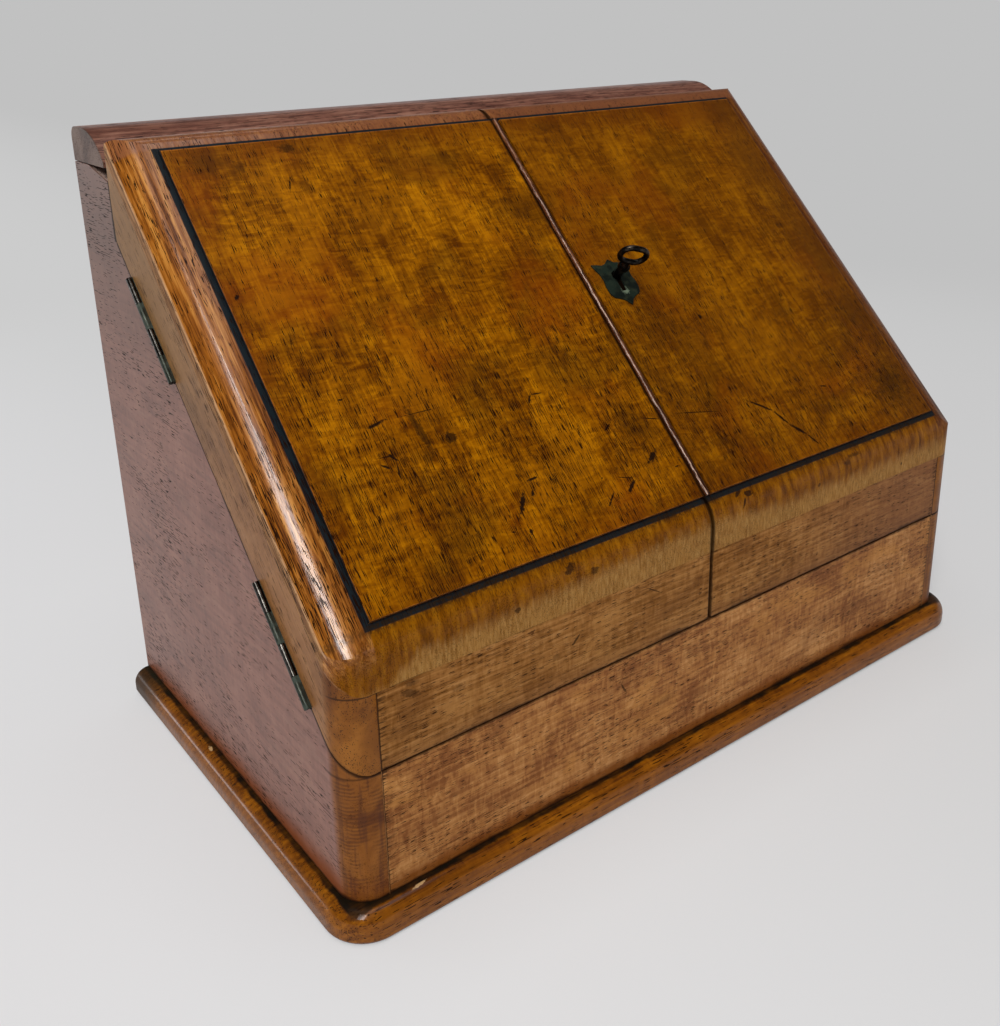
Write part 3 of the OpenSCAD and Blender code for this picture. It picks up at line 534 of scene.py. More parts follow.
def board_faces(g, at, skin, layer):
    """The side face like the cheek below it, with a painted highlight along its arris, then the plain inside, and
    painted shade on the meeting edges in the centre gap.
    The side face comes back as a mask."""
    face = g.fade(at.reach, HALF_W - 0.35 * MM, HALF_W - 0.1 * MM)
    skin.tint(face, g.ramp(layer["Fibre"], CHEEK_TONES), 1.0)
    rim = g.fade(at.reach, HALF_W - 1.2 * MM, HALF_W - 0.5 * MM)
    # painted highlight: a pale line along the arris of the side face
    skin.tint(g.product(rim, band(g, at.n, SIDE_TOP_N, 0.2 * MM, 0.5 * MM)), srgb(204, 160, 116), 0.6)
    hidden = g.product(g.fade(at.n, UNDER_N + 0.2 * MM, UNDER_N + 0.8 * MM, 1.0, 0.0), g.fade(at.y, 1.5 * MM, 4 * MM))
    hidden = g.product(hidden, g.fade(at.reach, HALF_W - 0.4 * MM, HALF_W - 0.1 * MM, 1.0, 0.0))
    skin.tint(hidden, g.ramp(layer["Level"], INNER_TONES), 0.9)
    # painted shade: the meeting edges in the centre gap, and the rim beside them, are darkened
    skin.soil(g.fade(at.reach, 0.8 * MM, 2.0 * MM, 1.0, 0.0), BLACK, 0.8)
    return face


def glue_line(g, at, skin):
    """The dark line where the board is glued to the rail, broken in places."""
    broken = g.product(g.fade(g.noise(at.plain, 34.0, 2.0, 0.5), 0.42, 0.56),
                       g.fade(at.x, -110 * MM, -60 * MM, 1.0, 0.25))
    line = g.product(band(g, at.z, UNDER_Z, 0.1 * MM, 0.4 * MM), g.fade(at.y, 1.5 * MM, 4 * MM, 1.0, 0.0), broken)
    skin.soil(line, BLACK, 0.6)


def finish_board(g, at, skin, layer):
    """The sloping board: field, shoulder, end grain on the front, thumb mould, top strip, quirk, side and inside."""
    ragged = g.noise(at.plain, 800.0, 2.0, 0.6)
    board_field(g, at, skin, ragged)
    below, tan = board_shoulder(g, at, skin)
    skin.pores = g.math("MULTIPLY_ADD", below, -0.5, 0.95)
    front_marks(g, at, skin, BOARD_MARKS)
    thumb = board_thumb(g, at, skin, layer)
    skin.tint(g.fade(at.u, FIELD_HI + 1 * MM, FIELD_HI + 3 * MM), srgb(132, 82, 54), 0.6)
    on_top = g.fade(at.n, UNDER_N + 5 * MM, UNDER_N + 8 * MM)
    board_quirk(g, at, skin, ragged, below, on_top)
    face = board_faces(g, at, skin, layer)
    # painted shade: the board under the keyhole is black, standing for the dark inside the hole
    hole = g.product(spot(g, at.slope, 0.5, KEYHOLE, (4.5, 9.0), 0.0, 0.2), on_top)
    skin.tint(hole, BLACK, 0.95, 0.8)
    glue_line(g, at, skin)
    # polish is thickest on the left thumb, thinner on the shoulder, and worn off the tan end grain
    near_window = g.fade(at.x, -20 * MM, 20 * MM, 0.8, 0.06)
    polish = g.math("ADD", g.product(thumb, near_window), g.product(below, 0.2, g.math("SUBTRACT", 1.0, tan)))
    kept = g.math("MULTIPLY_ADD", face, -0.9, 1.0)
    skin.coat = g.product(polish, kept, g.fade(layer["Streak"], 0.36, 0.56, 0.3, 1.0))


def saw_line(g, at, skin, layer):
    """The upright joint near each front corner: a dark line, with short dark pore ends on the board's side of it."""
    front = g.fade(at.y, CORNER_R, CORNER_R + 8 * MM, 1.0, 0.0)
    line = band(g, g.math("ADD", at.reach, g.wobble(at.plain, 300.0, 0.15 * MM)), JOINT_X, 0.15 * MM, 0.4 * MM)
    skin.soil(g.product(line, front), srgb(34, 18, 10), 0.85)
    ticks = g.fade(g.noise(g.scaled(at.plain, (160.0, 160.0, 1100.0)), 1.0, 1.0, 0.5), 0.52, 0.6)
    close = g.product(g.fade(at.reach, JOINT_X - 4.5 * MM, JOINT_X - 0.5 * MM),
                      g.fade(at.reach, JOINT_X, JOINT_X + 0.2 * MM, 1.0, 0.0))
    skin.tint(g.product(ticks, close, front), srgb(44, 24, 12), 0.75)


def nicks(g, at, skin, rarity, strength=0.7):
    """Small knocks and stains here and there."""
    knock = g.fade(g.noise(at.plain, 85.0, 4.0, 0.72, 0.8), rarity, rarity + 0.035)
    skin.tint(knock, srgb(62, 30, 14), strength, 0.5)


def mottle(g, at, skin, light, dark, strength, along=1.0):
    """Patches where an old finish has bleached or darkened: along under 1 draws them out along the board."""
    patch = g.noise(g.scaled(at.plain, (along, 1.0, 1.0)), 48.0, 4.0, 0.62, 0.5)
    skin.tint(g.fade(patch, 0.52, 0.68), light, strength)
    skin.tint(g.fade(patch, 0.48, 0.32), dark, strength)


def seam_grime_and_shade(g, at, skin, away, width=0.9, strength=0.85):
    """A dark line along an edge, wider here and there, grime along the body's foot and painted shade with grime in the
    gaps round the doors: away is the distance from it.
    """
    loose = g.math("ADD", away, g.wobble(at.plain, 210.0, 0.3 * MM))
    wide = g.fade(g.noise(at.plain, 30.0, 3.0, 0.6), 0.45, 0.7, 0.7 * width * MM, 1.9 * width * MM)
    skin.soil(g.fade(g.math("DIVIDE", loose, wide), 0.0, 1.0, 1.0, 0.0), SOOT, strength)


def rusty_foot(g, at, above):
    """The reddish strip along the foot of a body board: above is the height over the base."""
    return g.fade(g.math("ADD", above, g.wobble(at.plain, 35.0, 2.0 * MM)), 1 * MM, 13 * MM, 1.0, 0.0)


def golden_corner_out_of_sheen(g, at, skin, layer):
    """The rounded front corner in saturated golden brown, as a mask: partly its own figure, partly painted reflection,
    as the tone of the flat face stands partly for reflected pale haze that the corner turns away from.
    """
    loose = g.math("ADD", at.y, g.wobble(at.plain, 50.0, 0.8 * MM))
    corner = g.fade(loose, CORNER_R - 4.5 * MM, CORNER_R + 0.5 * MM, 1.0, 0.0)
    skin.tint(corner, g.ramp(layer["Figure"], CORNER_TONES), 0.9)
    return corner


def finish_cheek(g, at, skin, layer):
    """A door's triangular side: tan, then golden brown round its front corner, partly painted reflection, with painted
    shade and grime in the gaps round it.
    """
    skin.tint(g.fade(at.u, 60 * MM, 150 * MM, 1.0, 0.0), srgb(162, 106, 48), 0.3)
    skin.tint(g.fade(at.u, 110 * MM, 200 * MM), srgb(140, 104, 56), 0.5)
    corner = golden_corner_out_of_sheen(g, at, skin, layer)
    edge = g.math("DIVIDE", g.math("SUBTRACT", g.math("SUBTRACT", at.z, at.y), SEAM_Z), ROOT2)
    # dark along the seams with the carcase: painted shade in the gap, with grime
    seam_grime_and_shade(g, at, skin, g.math("MINIMUM", edge, g.math("SUBTRACT", at.z, SEAM_Z)))
    # painted shade in the gap at the door's back end
    seam_grime_and_shade(g, at, skin, g.math("SUBTRACT", DOOR_BACK, at.y), 1.3, 0.95)
    saw_line(g, at, skin, layer)
    top = band(g, at.z, UNDER_Z, 0.1 * MM, 0.5 * MM)
    skin.soil(g.product(top, g.fade(at.y, 6 * MM, 12 * MM, 1.0, 0.0)), BLACK, 0.75)
    skin.coat = g.math("MULTIPLY_ADD", corner, 0.02, 0.1)


def finish_rail(g, at, skin, layer):
    """A door's front rail: warm tan, pinker to the right from a painted reflection, worn and dirty along its foot, with
    painted shade in the gaps under and beside it.
    """
    mottle(g, at, skin, srgb(172, 122, 66), srgb(108, 68, 32), 0.45, 0.5)
    # painted reflection: a pinkish cast towards the right, where the rail reflects pale haze
    skin.tint(g.fade(at.x, 20 * MM, 160 * MM), srgb(124, 82, 60), 0.5)
    skin.tint(g.fade(g.math("SUBTRACT", at.z, SEAM_Z), 0.0, 9 * MM, 1.0, 0.0), srgb(112, 72, 44), 0.35)
    nicks(g, at, skin, 0.68)
    front_marks(g, at, skin, RAIL_MARKS)
    # dark along the foot: painted shade in the gap under the door, with grime
    seam_grime_and_shade(g, at, skin, g.math("SUBTRACT", at.z, SEAM_Z), 2.2, 0.97)
    # dark along the centre gap: painted shade on the edges in the gap, with grime beside it
    seam_grime_and_shade(g, at, skin, g.math("SUBTRACT", at.reach, 0.7 * MM), 1.0, 0.8)
    saw_line(g, at, skin, layer)


def finish_front(g, at, skin, layer):
    """The fixed front board: mottled, with a golden foot above the base."""
    mottle(g, at, skin, srgb(186, 128, 64), srgb(116, 70, 36), 0.5, 0.42)
    nicks(g, at, skin, 0.68)
    front_marks(g, at, skin, FRONT_MARKS)
    above = g.math("SUBTRACT", at.z, BASE_T)
    loose = g.math("ADD", above, g.wobble(at.plain, 60.0, 1.2 * MM))
    skin.tint(g.fade(loose, 2 * MM, 8 * MM, 1.0, 0.0), srgb(116, 60, 10), 0.8)
    seam_grime_and_shade(g, at, skin, above, 1.8, 0.95)
    # dark along the top: painted shade in the gap under the door, with grime
    seam_grime_and_shade(g, at, skin, g.math("SUBTRACT", SEAM_Z, at.z), 1.1, 0.8)
    saw_line(g, at, skin, layer)


def finish_side(g, at, skin, layer):
    """A carcase side: rosy brown that stands partly for painted reflection, turning golden with fine uneven rings round
    the front corner; painted shade in the gaps round the door, painted light on its top under the lid.
    """
    waves = g.noise(g.scaled(at.plain, (40.0, 45.0, 190.0)), 1.0, 2.0, 0.5, 1.5)
    skin.tint(g.fade(waves, 0.54, 0.68), srgb(146, 104, 84), 0.35)
    skin.tint(g.fade(at.z, 150 * MM, 250 * MM), srgb(92, 70, 60), 0.6)
    corner = golden_corner_out_of_sheen(g, at, skin, layer)
    rise = g.math("DIVIDE", g.math("ADD", at.z, g.wobble(at.plain, 55.0, 1.3 * MM)), 1.7 * MM)
    rings = g.fade(g.math("ABSOLUTE", g.math("SUBTRACT", g.math("FRACT", rise), 0.5)), 0.1, 0.42, 1.0, 0.0)
    patchy = g.fade(g.noise(at.plain, 110.0, 3.0, 0.6), 0.42, 0.6)
    skin.tint(g.product(rings, corner, patchy), srgb(74, 40, 20), 0.5)
    upright = g.noise(g.scaled(at.plain, (420.0, 420.0, 26.0)), 1.0, 3.0, 0.6)
    skin.tint(g.product(g.fade(upright, 0.5, 0.64), corner), srgb(70, 38, 26), 0.45)
    skin.pores = g.math("MULTIPLY_ADD", corner, -0.6, 0.95)
    nicks(g, at, skin, 0.71, 0.6)
    above = g.math("SUBTRACT", at.z, BASE_T)
    rusty = rusty_foot(g, at, above)
    skin.soil(g.product(rusty, g.math("MULTIPLY_ADD", corner, -0.7, 1.0)), RUST, 0.75)
    seam_grime_and_shade(g, at, skin, above, 1.8, 0.95)
    # dark along the sloping seam with the door: painted shade in the gap, with grime
    low = g.fade(at.y, DOOR_BACK - 1 * MM, DOOR_BACK, 0.0, 1.0)
    edge = g.math("DIVIDE", g.math("SUBTRACT", SEAM_Z, g.math("SUBTRACT", at.z, at.y)), ROOT2)
    seam_grime_and_shade(g, at, skin, g.math("ADD", g.math("ABSOLUTE", edge), low), 0.9, 0.8)
    # dark along the door's foot at the front corner: painted shade in the gap, with grime
    foot = g.fade(at.y, 14 * MM, 20 * MM, 0.0, 4 * MM)
    seam_grime_and_shade(g, at, skin, g.math("ADD", g.math("ABSOLUTE", g.math("SUBTRACT", SEAM_Z, at.z)), foot), 0.7, 0.6)
    # painted shade in the gap at the door's back end
    high = g.fade(at.z, 232 * MM, 236 * MM, 1.0, 0.0)
    seam_grime_and_shade(g, at, skin, g.math("ADD", g.math("ABSOLUTE", g.math("SUBTRACT", at.y, DOOR_BACK)), high), 1.3, 0.95)
    saw_line(g, at, skin, layer)
    inner = g.fade(at.reach, JOINT_X + 0.1 * MM, JOINT_X + 0.4 * MM, 1.0, 0.0)
    skin.soil(inner, g.ramp(layer["Level"], INNER_TONES), 0.95)
    # painted light: the side's top under the lid, in the lid's shade, is made pale grey-brown
    painted_light_ledge = g.product(g.fade(at.z, 250 * MM, 254 * MM), g.fade(at.y, 186 * MM, 196 * MM, 1.0, 0.0),
                      g.fade(at.reach, HALF_W - 0.7 * MM, HALF_W - 0.3 * MM, 1.0, 0.0))
    skin.soil(g.product(painted_light_ledge, g.math("SUBTRACT", 1.0, inner)), srgb(168, 146, 134), 0.9)
    skin.coat = g.math("MULTIPLY_ADD", corner, -0.35, 0.45)


def finish_back(g, at, skin, layer):
    """The back board: mottled outside with a rusty foot, plain brown inside."""
    mottle(g, at, skin, srgb(140, 94, 72), srgb(92, 54, 42), 0.4)
    nicks(g, at, skin, 0.71, 0.6)
    above = g.math("SUBTRACT", at.z, BASE_T)
    skin.soil(rusty_foot(g, at, above), RUST, 0.6)
    seam_grime_and_shade(g, at, skin, above, 1.8, 0.95)
    inner = g.fade(at.y, BODY_D - 0.4 * MM, BODY_D - 0.1 * MM, 1.0, 0.0)
    skin.soil(inner, g.ramp(layer["Level"], INNER_TONES), 0.95)


def finish_base(g, at, skin, layer):
    """The base: brighter on its worn round, black-green grime in the angle under the body, a painted contact shadow
    along its foot.
    """
    out = g.math("MAXIMUM", g.math("SUBTRACT", at.reach, HALF_W), g.math("MULTIPLY", at.y, -1.0))
    loose = g.math("ADD", out, g.wobble(at.plain, 140.0, 0.5 * MM))
    skin.tint(g.fade(loose, 3.0 * MM, 6.0 * MM), srgb(138, 80, 10), 0.4)
    patchy = g.fade(g.noise(at.plain, 60.0, 3.0, 0.6), 0.4, 0.62, 0.75, 1.0)
    grime = g.product(g.fade(loose, 1.6 * MM, 2.8 * MM, 1.0, 0.0), g.fade(at.z, 9.5 * MM, 12.0 * MM), patchy)
    skin.soil(grime, srgb(12, 13, 8), 0.97, 0.6)
    # painted shadow: dark along the foot, where the base meets the floor
    skin.tint(g.fade(at.z, 0.2 * MM, 2.2 * MM, 1.0, 0.0), srgb(26, 12, 4), 0.8)
    far = g.product(g.fade(at.y, 168 * MM, 200 * MM), g.fade(at.x, -182 * MM, -174 * MM, 1.0, 0.0))
    skin.soil(far, srgb(30, 30, 20), 0.75)
    nicks(g, at, skin, 0.7, 0.8)
    chips = deepest(g, [spot(g, at.plain, g.noise(at.plain, 600.0, 2.0, 0.6), centre, size, turn, 0.3)
                        for centre, size, turn in CHIPS])
    skin.tint(g.product(chips, g.fade(at.z, 8 * MM, 11 * MM)), srgb(196, 160, 110), 0.8, 0.6)
    skin.coat = 0.4


def finish_lid(g, at, skin, layer):
    """The lid: rosy on top, grey-brown end grain."""
    end = g.fade(at.reach, HALF_W - 0.6 * MM, HALF_W - 0.2 * MM)
    skin.tint(end, g.ramp(layer["Figure"], LID_END_TONES), 0.9)
    nicks(g, at, skin, 0.71, 0.6)
    skin.coat = g.math("MULTIPLY_ADD", end, -0.1, 0.14)


def finish_bead(g, at, skin, layer):
    """The bead: dark, with a broken painted highlight along its left shoulder, a dark line, and painted shade where it
    drops below the field.
    """
    loose = g.math("ADD", at.x, g.wobble(at.plain, 90.0, 0.5 * MM))
    patchy = g.fade(g.noise(at.plain, 70.0, 3.0, 0.7), 0.4, 0.55, 0.35, 1.0)
    patchy = g.product(patchy, g.fade(at.u, 170 * MM, 235 * MM, 1.0, 0.3))
    # painted highlight: a pale glint along the left shoulder, broken in places and fading up the slope
    skin.tint(g.product(band(g, loose, 1.4 * MM, 0.1 * MM, 0.28 * MM), patchy), srgb(206, 172, 150), 0.7)
    skin.tint(band(g, loose, 2.5 * MM, 0.15 * MM, 0.25 * MM), BLACK, 0.6)
    # painted shade: darker where the bead drops below the field into the centre gap
    skin.tint(g.fade(at.n, FIELD_N - 1.2 * MM, FIELD_N - 0.4 * MM, 1.0, 0.0), BLACK, 0.85)


def board_crowd(g, at):
    """Pores crowd the lower left of the doors, and thin out up the slope and to the right."""
    low = g.fade(at.u, 80 * MM, 190 * MM, -0.065, 0.0)
    return g.math("ADD", low, g.fade(at.x, 10 * MM, 90 * MM, 0.0, 0.03))


def side_crowd(g, at):
    """Pores gather in loose patches on the sides."""
    return g.fade(g.noise(at.plain, 22.0, 2.0, 0.5, 0.6), 0.38, 0.62, 0.035, -0.035)


MAT_BOARD = oak("oak_board", GOLD, grain_up_slope, (5.0, 0.33), 0.70, (5.0, 0.03), (0.5, 0.35, 0.4), 0.0,
                gloss=0.3, shine=0.04, coat_rough=0.17, finish=finish_board, relief=0.4, crowd=board_crowd)
MAT_BEAD = oak("oak_bead", RUSSET, grain_up_slope, seed=0.4, shine=0.06, coat=0.2, finish=finish_bead)
MAT_CHEEK = oak("oak_cheek", TAN, grain_up_slope, (5.0, 0.35), 0.71, (3.5, 0.04), (0.45, 0.28, 0.15), 1.3,
                finish=finish_cheek)
MAT_RAIL = oak("oak_rail", RAIL, grain_across, (4.2, 0.3), 0.675, (3.0, 0.05), (0.4, 0.4, 0.3), 2.1,
               shine=0.05, coat=0.0, finish=finish_rail)
MAT_FRONT = oak("oak_front", BROWN, grain_across, (3.8, 0.32), 0.685, (3.5, 0.05), (0.5, 0.35, 0.4), 3.7,
                shine=0.06, coat=0.02, finish=finish_front)
MAT_SIDE = oak("oak_side", ROSE, grain_back, (5.5, 0.5), 0.71, (4.0, 0.04), (0.4, 0.25, 0.25), 4.9,
               shine=0.08, coat_rough=0.3, finish=finish_side, crowd=side_crowd)
MAT_BACK = oak("oak_back", ROSE, grain_across, (5.5, 0.5), 0.71, (4.0, 0.06), (0.4, 0.4, 0.2), 9.3,
               shine=0.08, coat=0.2, coat_rough=0.35, finish=finish_back)
MAT_BASE = oak("oak_base", DARK, grain_across, (6.0, 0.45), 0.705, (3.0, 0.06), (0.45, 0.4, 0.2), 5.2,
               shine=0.06, coat_rough=0.1, finish=finish_base)
MAT_LID = oak("oak_lid", LID, grain_across, (6.0, 0.5), 0.68, (3.5, 0.08), (0.45, 0.55, 0.1), 6.1,
              coat=0.14, coat_rough=0.25, finish=finish_lid)
MAT_REST = oak("oak_rest", REST, grain_back, seed=8.2, gloss=0.5, coat=0.0)
MAT_INNER = oak("oak_inner", INNER, grain_across, (5.0, 0.5), 0.70, (4.0, 0.1), (0.4, 0.45, 0.2), 7.4,
                gloss=0.42, coat=0.03)


def metal(name, dark, bright, patina, spread, rough, metallic=1.0, finish=None, shine=0.5):
    """Old metal: dark skin rubbed brighter in places, with a dull patina in the rest."""
    material = bpy.data.materials.new(name)
    material.use_nodes = True
    g = Graph(material.node_tree)
    shader = material.node_tree.nodes["Principled BSDF"]
    shader.inputs["Specular IOR Level"].default_value = shine
    at = Place(g)
    wear = g.noise(at.plain, 300.0, 3.0, 0.55)
    stain = g.noise(at.plain, 120.0, 3.0, 0.55, 0.4)
    colour = g.mix(g.fade(wear, 0.45, 0.7), dark, bright)
    crust = g.fade(stain, spread, spread + 0.12)
    colour = g.mix(g.math("MULTIPLY", crust, 0.8), colour, patina)
    if finish:
        colour = finish(g, at, colour)
    g.tree.links.new(colour, shader.inputs["Base Color"])
    dull = g.math("MULTIPLY_ADD", crust, 0.3, g.math("MULTIPLY_ADD", wear, 0.2, rough))
    g.tree.links.new(dull, shader.inputs["Roughness"])
    g.tree.links.new(g.math("MULTIPLY_ADD", crust, -0.7 * metallic, metallic), shader.inputs["Metallic"])
    relief = g.node("ShaderNodeBump", {"Height": wear, "Strength": 0.25, "Distance": 0.0003}).outputs[0]
    g.tree.links.new(relief, shader.inputs["Normal"])
    return material


def verdigris(g, at, colour):
    """Pale green where polish has dried at the foot of the keyhole."""
    ragged = g.noise(at.plain, 900.0, 2.0, 0.6)
    foot = spot(g, at.slope, ragged, KEYHOLE_FOOT, (2.6, 2.6), 0.0, 0.5)
    return g.mix(g.math("MULTIPLY", foot, 0.75), colour, srgb(128, 142, 118))


MAT_HINGE = metal("hinge_metal", srgb(52, 50, 47), srgb(96, 93, 88), srgb(44, 48, 42), 0.66, 0.12)
MAT_HINGE_DULL = metal("hinge_metal_dull", srgb(50, 54, 47), srgb(72, 77, 68), srgb(52, 64, 54), 0.5, 0.3, 0.8)
MAT_PLATE = metal("escutcheon_metal", srgb(22, 30, 24), srgb(46, 52, 38), srgb(26, 38, 28), 0.46, 0.45, 0.5,
                  verdigris, 0.15)
MAT_KEY = metal("key_iron", srgb(18, 16, 14), srgb(64, 56, 48), srgb(26, 20, 16), 0.6, 0.22, 0.9)
MAT_BRASS = metal("lock_brass", srgb(120, 92, 44), srgb(190, 156, 86), srgb(84, 74, 44), 0.6, 0.3)
MAT_IRON = metal("lock_iron", srgb(44, 42, 40), srgb(96, 92, 88), srgb(70, 52, 40), 0.6, 0.45)


# Pieces

def even_shading(mesh, limit=SMOOTH_ANGLE):
    """Each corner's normal is the mean, by area, of its vertex's faces that lean less than the limit from its own."""
    within = math.cos(limit)
    around = [[] for _ in mesh.vertices]
    faces = [(face.normal.copy(), face.area, list(face.vertices)) for face in mesh.polygons]
    for normal, area, corners in faces:
        for corner in corners:
            around[corner].append((normal, area))
    normals = []
    for normal, _, corners in faces:
        for corner in corners:
            mean = Vector((0.0, 0.0, 0.0))
            for other, area in around[corner]:
                if normal.dot(other) > within:
                    mean += other * area
            normals.append(mean.normalized() if mean.length > 0.0 else normal)
    mesh.set_sharp_from_angle(angle=limit)
    mesh.normals_split_custom_set(normals)


def dressed(node, material, bevel=0.0, segments=2, glued=None):
    """A copy of a CAD node with its edges eased, standing for that node. glued(point) keeps an edge sharp."""
    source = frame["nodes"][node]
    mesh = source.data.copy()
    mesh.name = node + "_dressed"
    mesh.materials.clear()
    mesh.materials.append(material)
    work = bmesh.new()
    work.from_mesh(mesh)
    bmesh.ops.remove_doubles(work, verts=work.verts, dist=MERGE_WITHIN)
    bmesh.ops.dissolve_limit(work, angle_limit=FLAT_ANGLE, verts=work.verts, edges=work.edges)
    bmesh.ops.recalc_face_normals(work, faces=work.faces)
    if bevel:
        edges = []
        for edge in work.edges:
            if len(edge.link_faces) != 2 or edge.calc_face_angle(0.0) < EDGE_ANGLE:
                continue
            middle = (edge.verts[0].co + edge.verts[1].co) / 2
            if glued and glued(middle):
                continue
            edges.append(edge)
        bmesh.ops.bevel(work, geom=edges, offset=bevel, offset_type="OFFSET", affect="EDGES", segments=segments,
                        profile=0.5, material=-1, clamp_overlap=True)
    for face in work.faces:
        face.smooth = True
        face.material_index = 0
    bmesh.ops.triangulate(work, faces=[f for f in work.faces if len(f.verts) > 4])
    work.to_mesh(mesh)
    work.free()
    even_shading(mesh)
    piece = bpy.data.objects.new(node + "_dressed", mesh)
    bpy.context.scene.collection.objects.link(piece)
    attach(piece, source["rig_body"])
    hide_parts(node)
    return piece


def on_upright_joint(point):
    """Where a side or cheek meets the boards between them."""
    return abs(abs(point.x) - JOINT_X) < 0.3 * MM


def near_joint(point):
    """Edges where the board, cheek and rail of a door are glued together."""
    on_under = abs(point.z - point.y - UNDER_Z) < 0.6 * MM
    return on_under or on_upright_joint(point)


def carcase_joint(point):
    """Edges where the front or back board meets the sides, and where the body stands on the base."""
    return on_upright_joint(point) or point.z < BASE_T + 0.5 * MM


for side in ("left", "right"):
    dressed(side + "_door_board", MAT_BOARD, 0.35 * MM, 2, near_joint)
    dressed(side + "_door_cheek", MAT_CHEEK, 0.5 * MM, 2, near_joint)
    dressed(side + "_door_rail", MAT_RAIL, 0.5 * MM, 2, near_joint)
    dressed("side_" + side, MAT_SIDE, 0.5 * MM, 2, carcase_joint)
    dressed("lid_rest_" + side, MAT_REST, 0.3 * MM)
    dressed("rack_end_" + side, MAT_INNER, 0.5 * MM)
    dressed(side + "_hinge_door_leaves", MAT_HINGE_DULL, 0.12 * MM)
    for part in ("_hinge_carcase_leaves", "_hinge_pins", "_hinge_carcase_screws", "_hinge_door_screws"):
        dressed(side + part, MAT_HINGE, 0.12 * MM)
for part in ("carcase_leaves", "lid_leaves", "pins", "carcase_screws", "lid_screws"):
    dressed("lid_hinge_" + part, MAT_HINGE, 0.12 * MM)
dressed("front_board", MAT_FRONT, 0.4 * MM, 2, carcase_joint)
dressed("back_board", MAT_BACK, 0.4 * MM, 2, carcase_joint)
for node, material, slot, bevel in (
        ("base_plinth", MAT_BASE, "oak_base", 0.3), ("inside_floor", MAT_INNER, "oak_inside", 0.0),
        ("pen_tray", MAT_INNER, "oak_inside", 0.5), ("rack_partition", MAT_INNER, "oak_inside", 0.4),
        ("rack_divider_1", MAT_INNER, "oak_inside", 0.6), ("rack_divider_2", MAT_INNER, "oak_inside", 0.6),
        ("rack_divider_3", MAT_INNER, "oak_inside", 0.6), ("rack_divider_4", MAT_INNER, "oak_inside", 0.6),
        ("lid_board", MAT_LID, "oak_side", 0.6), ("meeting_bead", MAT_BEAD, "oak_front", 0.1),
        ("escutcheon", MAT_PLATE, "hinge_metal", 0.2), ("key", MAT_KEY, "lock_iron", 0.25),
        ("lock_case", MAT_IRON, "lock_iron", 0.2), ("lock_cap", MAT_IRON, "lock_iron", 0.2),
        ("lock_bolt", MAT_BRASS, "lock_brass", 0.3), ("strike_plate", MAT_BRASS, "lock_brass", 0.2),
        ("bolt_guide", MAT_BRASS, "lock_brass", 0.25), ("bolt_keep", MAT_BRASS, "lock_brass", 0.25),
        ("slide_bolt", MAT_BRASS, "lock_brass", 0.2)):
    dressed(node, material, bevel * MM)


# Stage, lights and camera

CABINET_FOOT = (0.0, 0.1, 0.0)
LAMP_TARGET = (0.0, 0.1, 0.14)
FLOOR_HALF = 9.0
PAPER = srgb(236, 236, 237)
LOW_ROOM = srgb(240, 240, 242)
HIGH_ROOM = srgb(90, 90, 92)
PAPER_LEFT = srgb(220, 220, 221)
PAPER_RIGHT = srgb(204, 204, 204)
BACK_LEFT = srgb(204, 204, 204)
BACK_RIGHT = srgb(193, 193, 193)


def make_floor():
    """Pale paper: it takes the cabinet's shadow near it, and runs into the background further off; its glow holds
    painted light and shade.
    """
    mesh = bpy.data.meshes.new("floor")
    work = bmesh.new()
    bmesh.ops.create_grid(work, x_segments=1, y_segments=1, size=FLOOR_HALF)
    work.to_mesh(mesh)
    work.free()
    floor = bpy.data.objects.new("floor", mesh)
    bpy.context.scene.collection.objects.link(floor)
    material = bpy.data.materials.new("floor_paper")
    material.use_nodes = True
    g = Graph(material.node_tree)
    shader = material.node_tree.nodes["Principled BSDF"]
    shader.inputs["Base Color"].default_value = PAPER
    shader.inputs["Roughness"].default_value = 0.8
    shader.inputs["Specular IOR Level"].default_value = 0.1
    plain = g.node("ShaderNodeTexCoord").outputs["Object"]
    x = g.separate(plain)[0]
    away = g.node("ShaderNodeVectorMath", {0: plain, 1: CABINET_FOOT}, operation="DISTANCE").outputs["Value"]
    # painted light and shade: the glow is lighter on the left and near the cabinet, darker to the right and further off
    near = g.mix(g.fade(x, -0.22, 0.15), PAPER_LEFT, PAPER_RIGHT)
    far = g.mix(g.fade(x, 0.0, 0.9), BACK_LEFT, BACK_RIGHT)
    tone = g.mix(g.fade(away, 0.4, 1.1), near, far)
    glow = g.node("ShaderNodeEmission", {"Color": tone, "Strength": 1.0}).outputs[0]
    rays = g.node("ShaderNodeLightPath").outputs
    seen = g.math("MAXIMUM", rays["Is Camera Ray"], rays["Is Glossy Ray"])
    factor = g.math("MULTIPLY", seen, g.fade(away, 0.25, 0.9, 0.5, 1.0))
    both = g.node("ShaderNodeMixShader", {0: factor, 1: shader.outputs[0], 2: glow}).outputs[0]
    g.tree.links.new(both, material.node_tree.nodes["Material Output"].inputs["Surface"])
    mesh.materials.append(material)


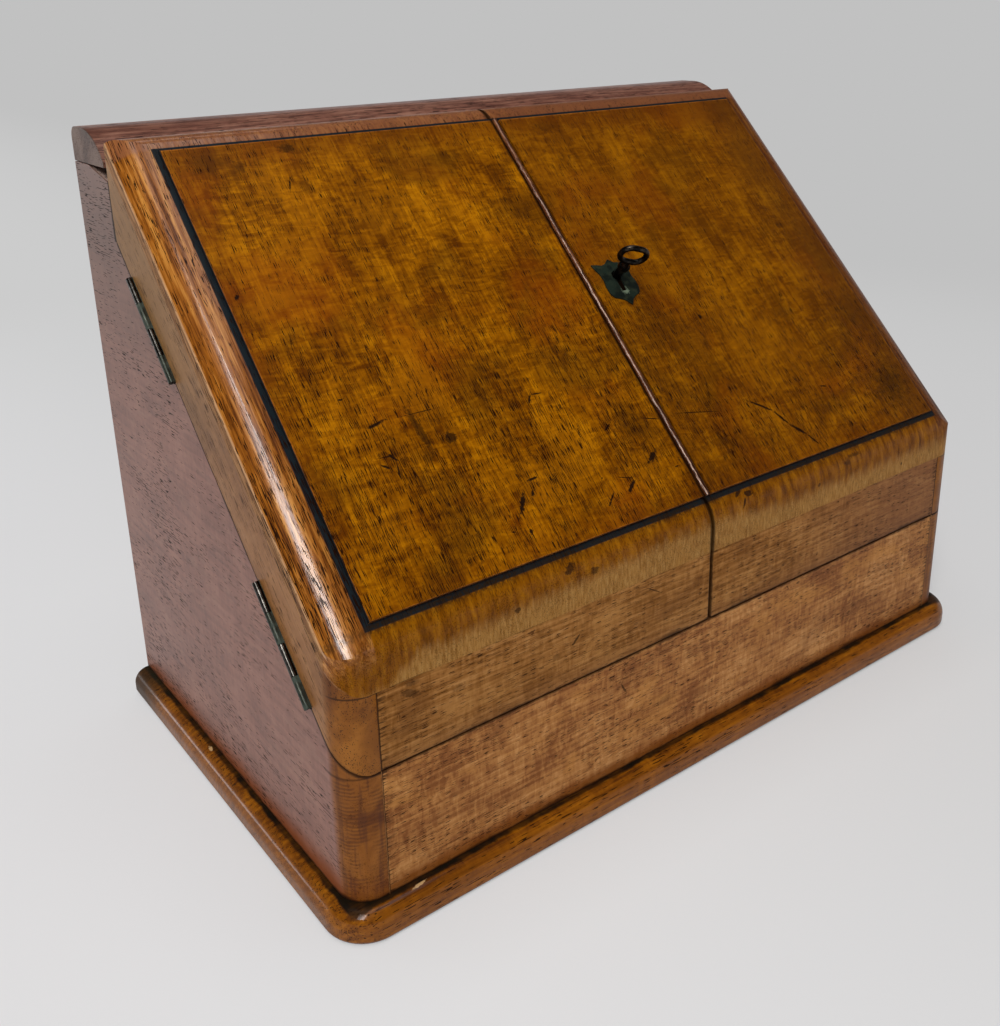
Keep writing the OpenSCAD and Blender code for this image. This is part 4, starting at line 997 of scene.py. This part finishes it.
def make_world():
    """Pale room: bright low down, darker overhead. The camera sees plain background."""
    world = bpy.data.worlds.new("room")
    bpy.context.scene.world = world
    world.use_nodes = True
    g = Graph(world.node_tree)
    back = world.node_tree.nodes["Background"]
    direction = g.node("ShaderNodeTexCoord").outputs["Generated"]
    z = g.separate(direction)[2]
    room = g.mix(g.fade(z, 0.05, 0.38), LOW_ROOM, HIGH_ROOM)
    seen = g.node("ShaderNodeLightPath").outputs["Is Camera Ray"]
    g.tree.links.new(g.mix(seen, room, BACK_RIGHT), back.inputs["Color"])
    back.inputs["Strength"].default_value = 1.0


def area_light(name, towards, distance, size, power, colour):
    """A softbox that far from the cabinet, in the direction given, facing it."""
    target = Vector(LAMP_TARGET)
    place = target + Vector(towards).normalized() * distance
    data = bpy.data.lights.new(name, "AREA")
    data.shape = "RECTANGLE"
    data.size = size[0]
    data.size_y = size[1]
    data.energy = power
    data.color = colour
    lamp = bpy.data.objects.new(name, data)
    lamp.location = place
    lamp.rotation_euler = (target - place).to_track_quat("-Z", "Y").to_euler()
    lamp.visible_camera = False
    bpy.context.scene.collection.objects.link(lamp)


def make_camera():
    """Fitted to the photograph's edges."""
    data = bpy.data.cameras.new("camera")
    data.sensor_width = 36.0
    data.lens = 39.399
    data.shift_x = -0.0111
    data.shift_y = -0.1157
    data.clip_start = 0.01
    data.clip_end = 60.0
    camera = bpy.data.objects.new("camera", data)
    camera.location = (-0.32996, -0.29842, 0.32410)
    camera.rotation_euler = [math.radians(a) for a in (71.0394, 1.1817, -37.2295)]
    bpy.context.scene.collection.objects.link(camera)
    bpy.context.scene.camera = camera


make_floor()
make_world()
area_light("key", (-0.48, -0.42, 0.77), 2.2, (0.5, 1.1), 30.0, (1.0, 0.98, 0.96))
area_light("ceiling", (0.0, 0.0, 1.0), 2.4, (1.8, 1.8), 18.0, (1.0, 1.0, 1.0))
area_light("window", (-0.64, 0.76, 0.07), 2.6, (1.0, 0.35), 6.0, (0.97, 0.98, 1.0))
make_camera()
bpy.context.scene.view_settings.view_transform = "Standard"
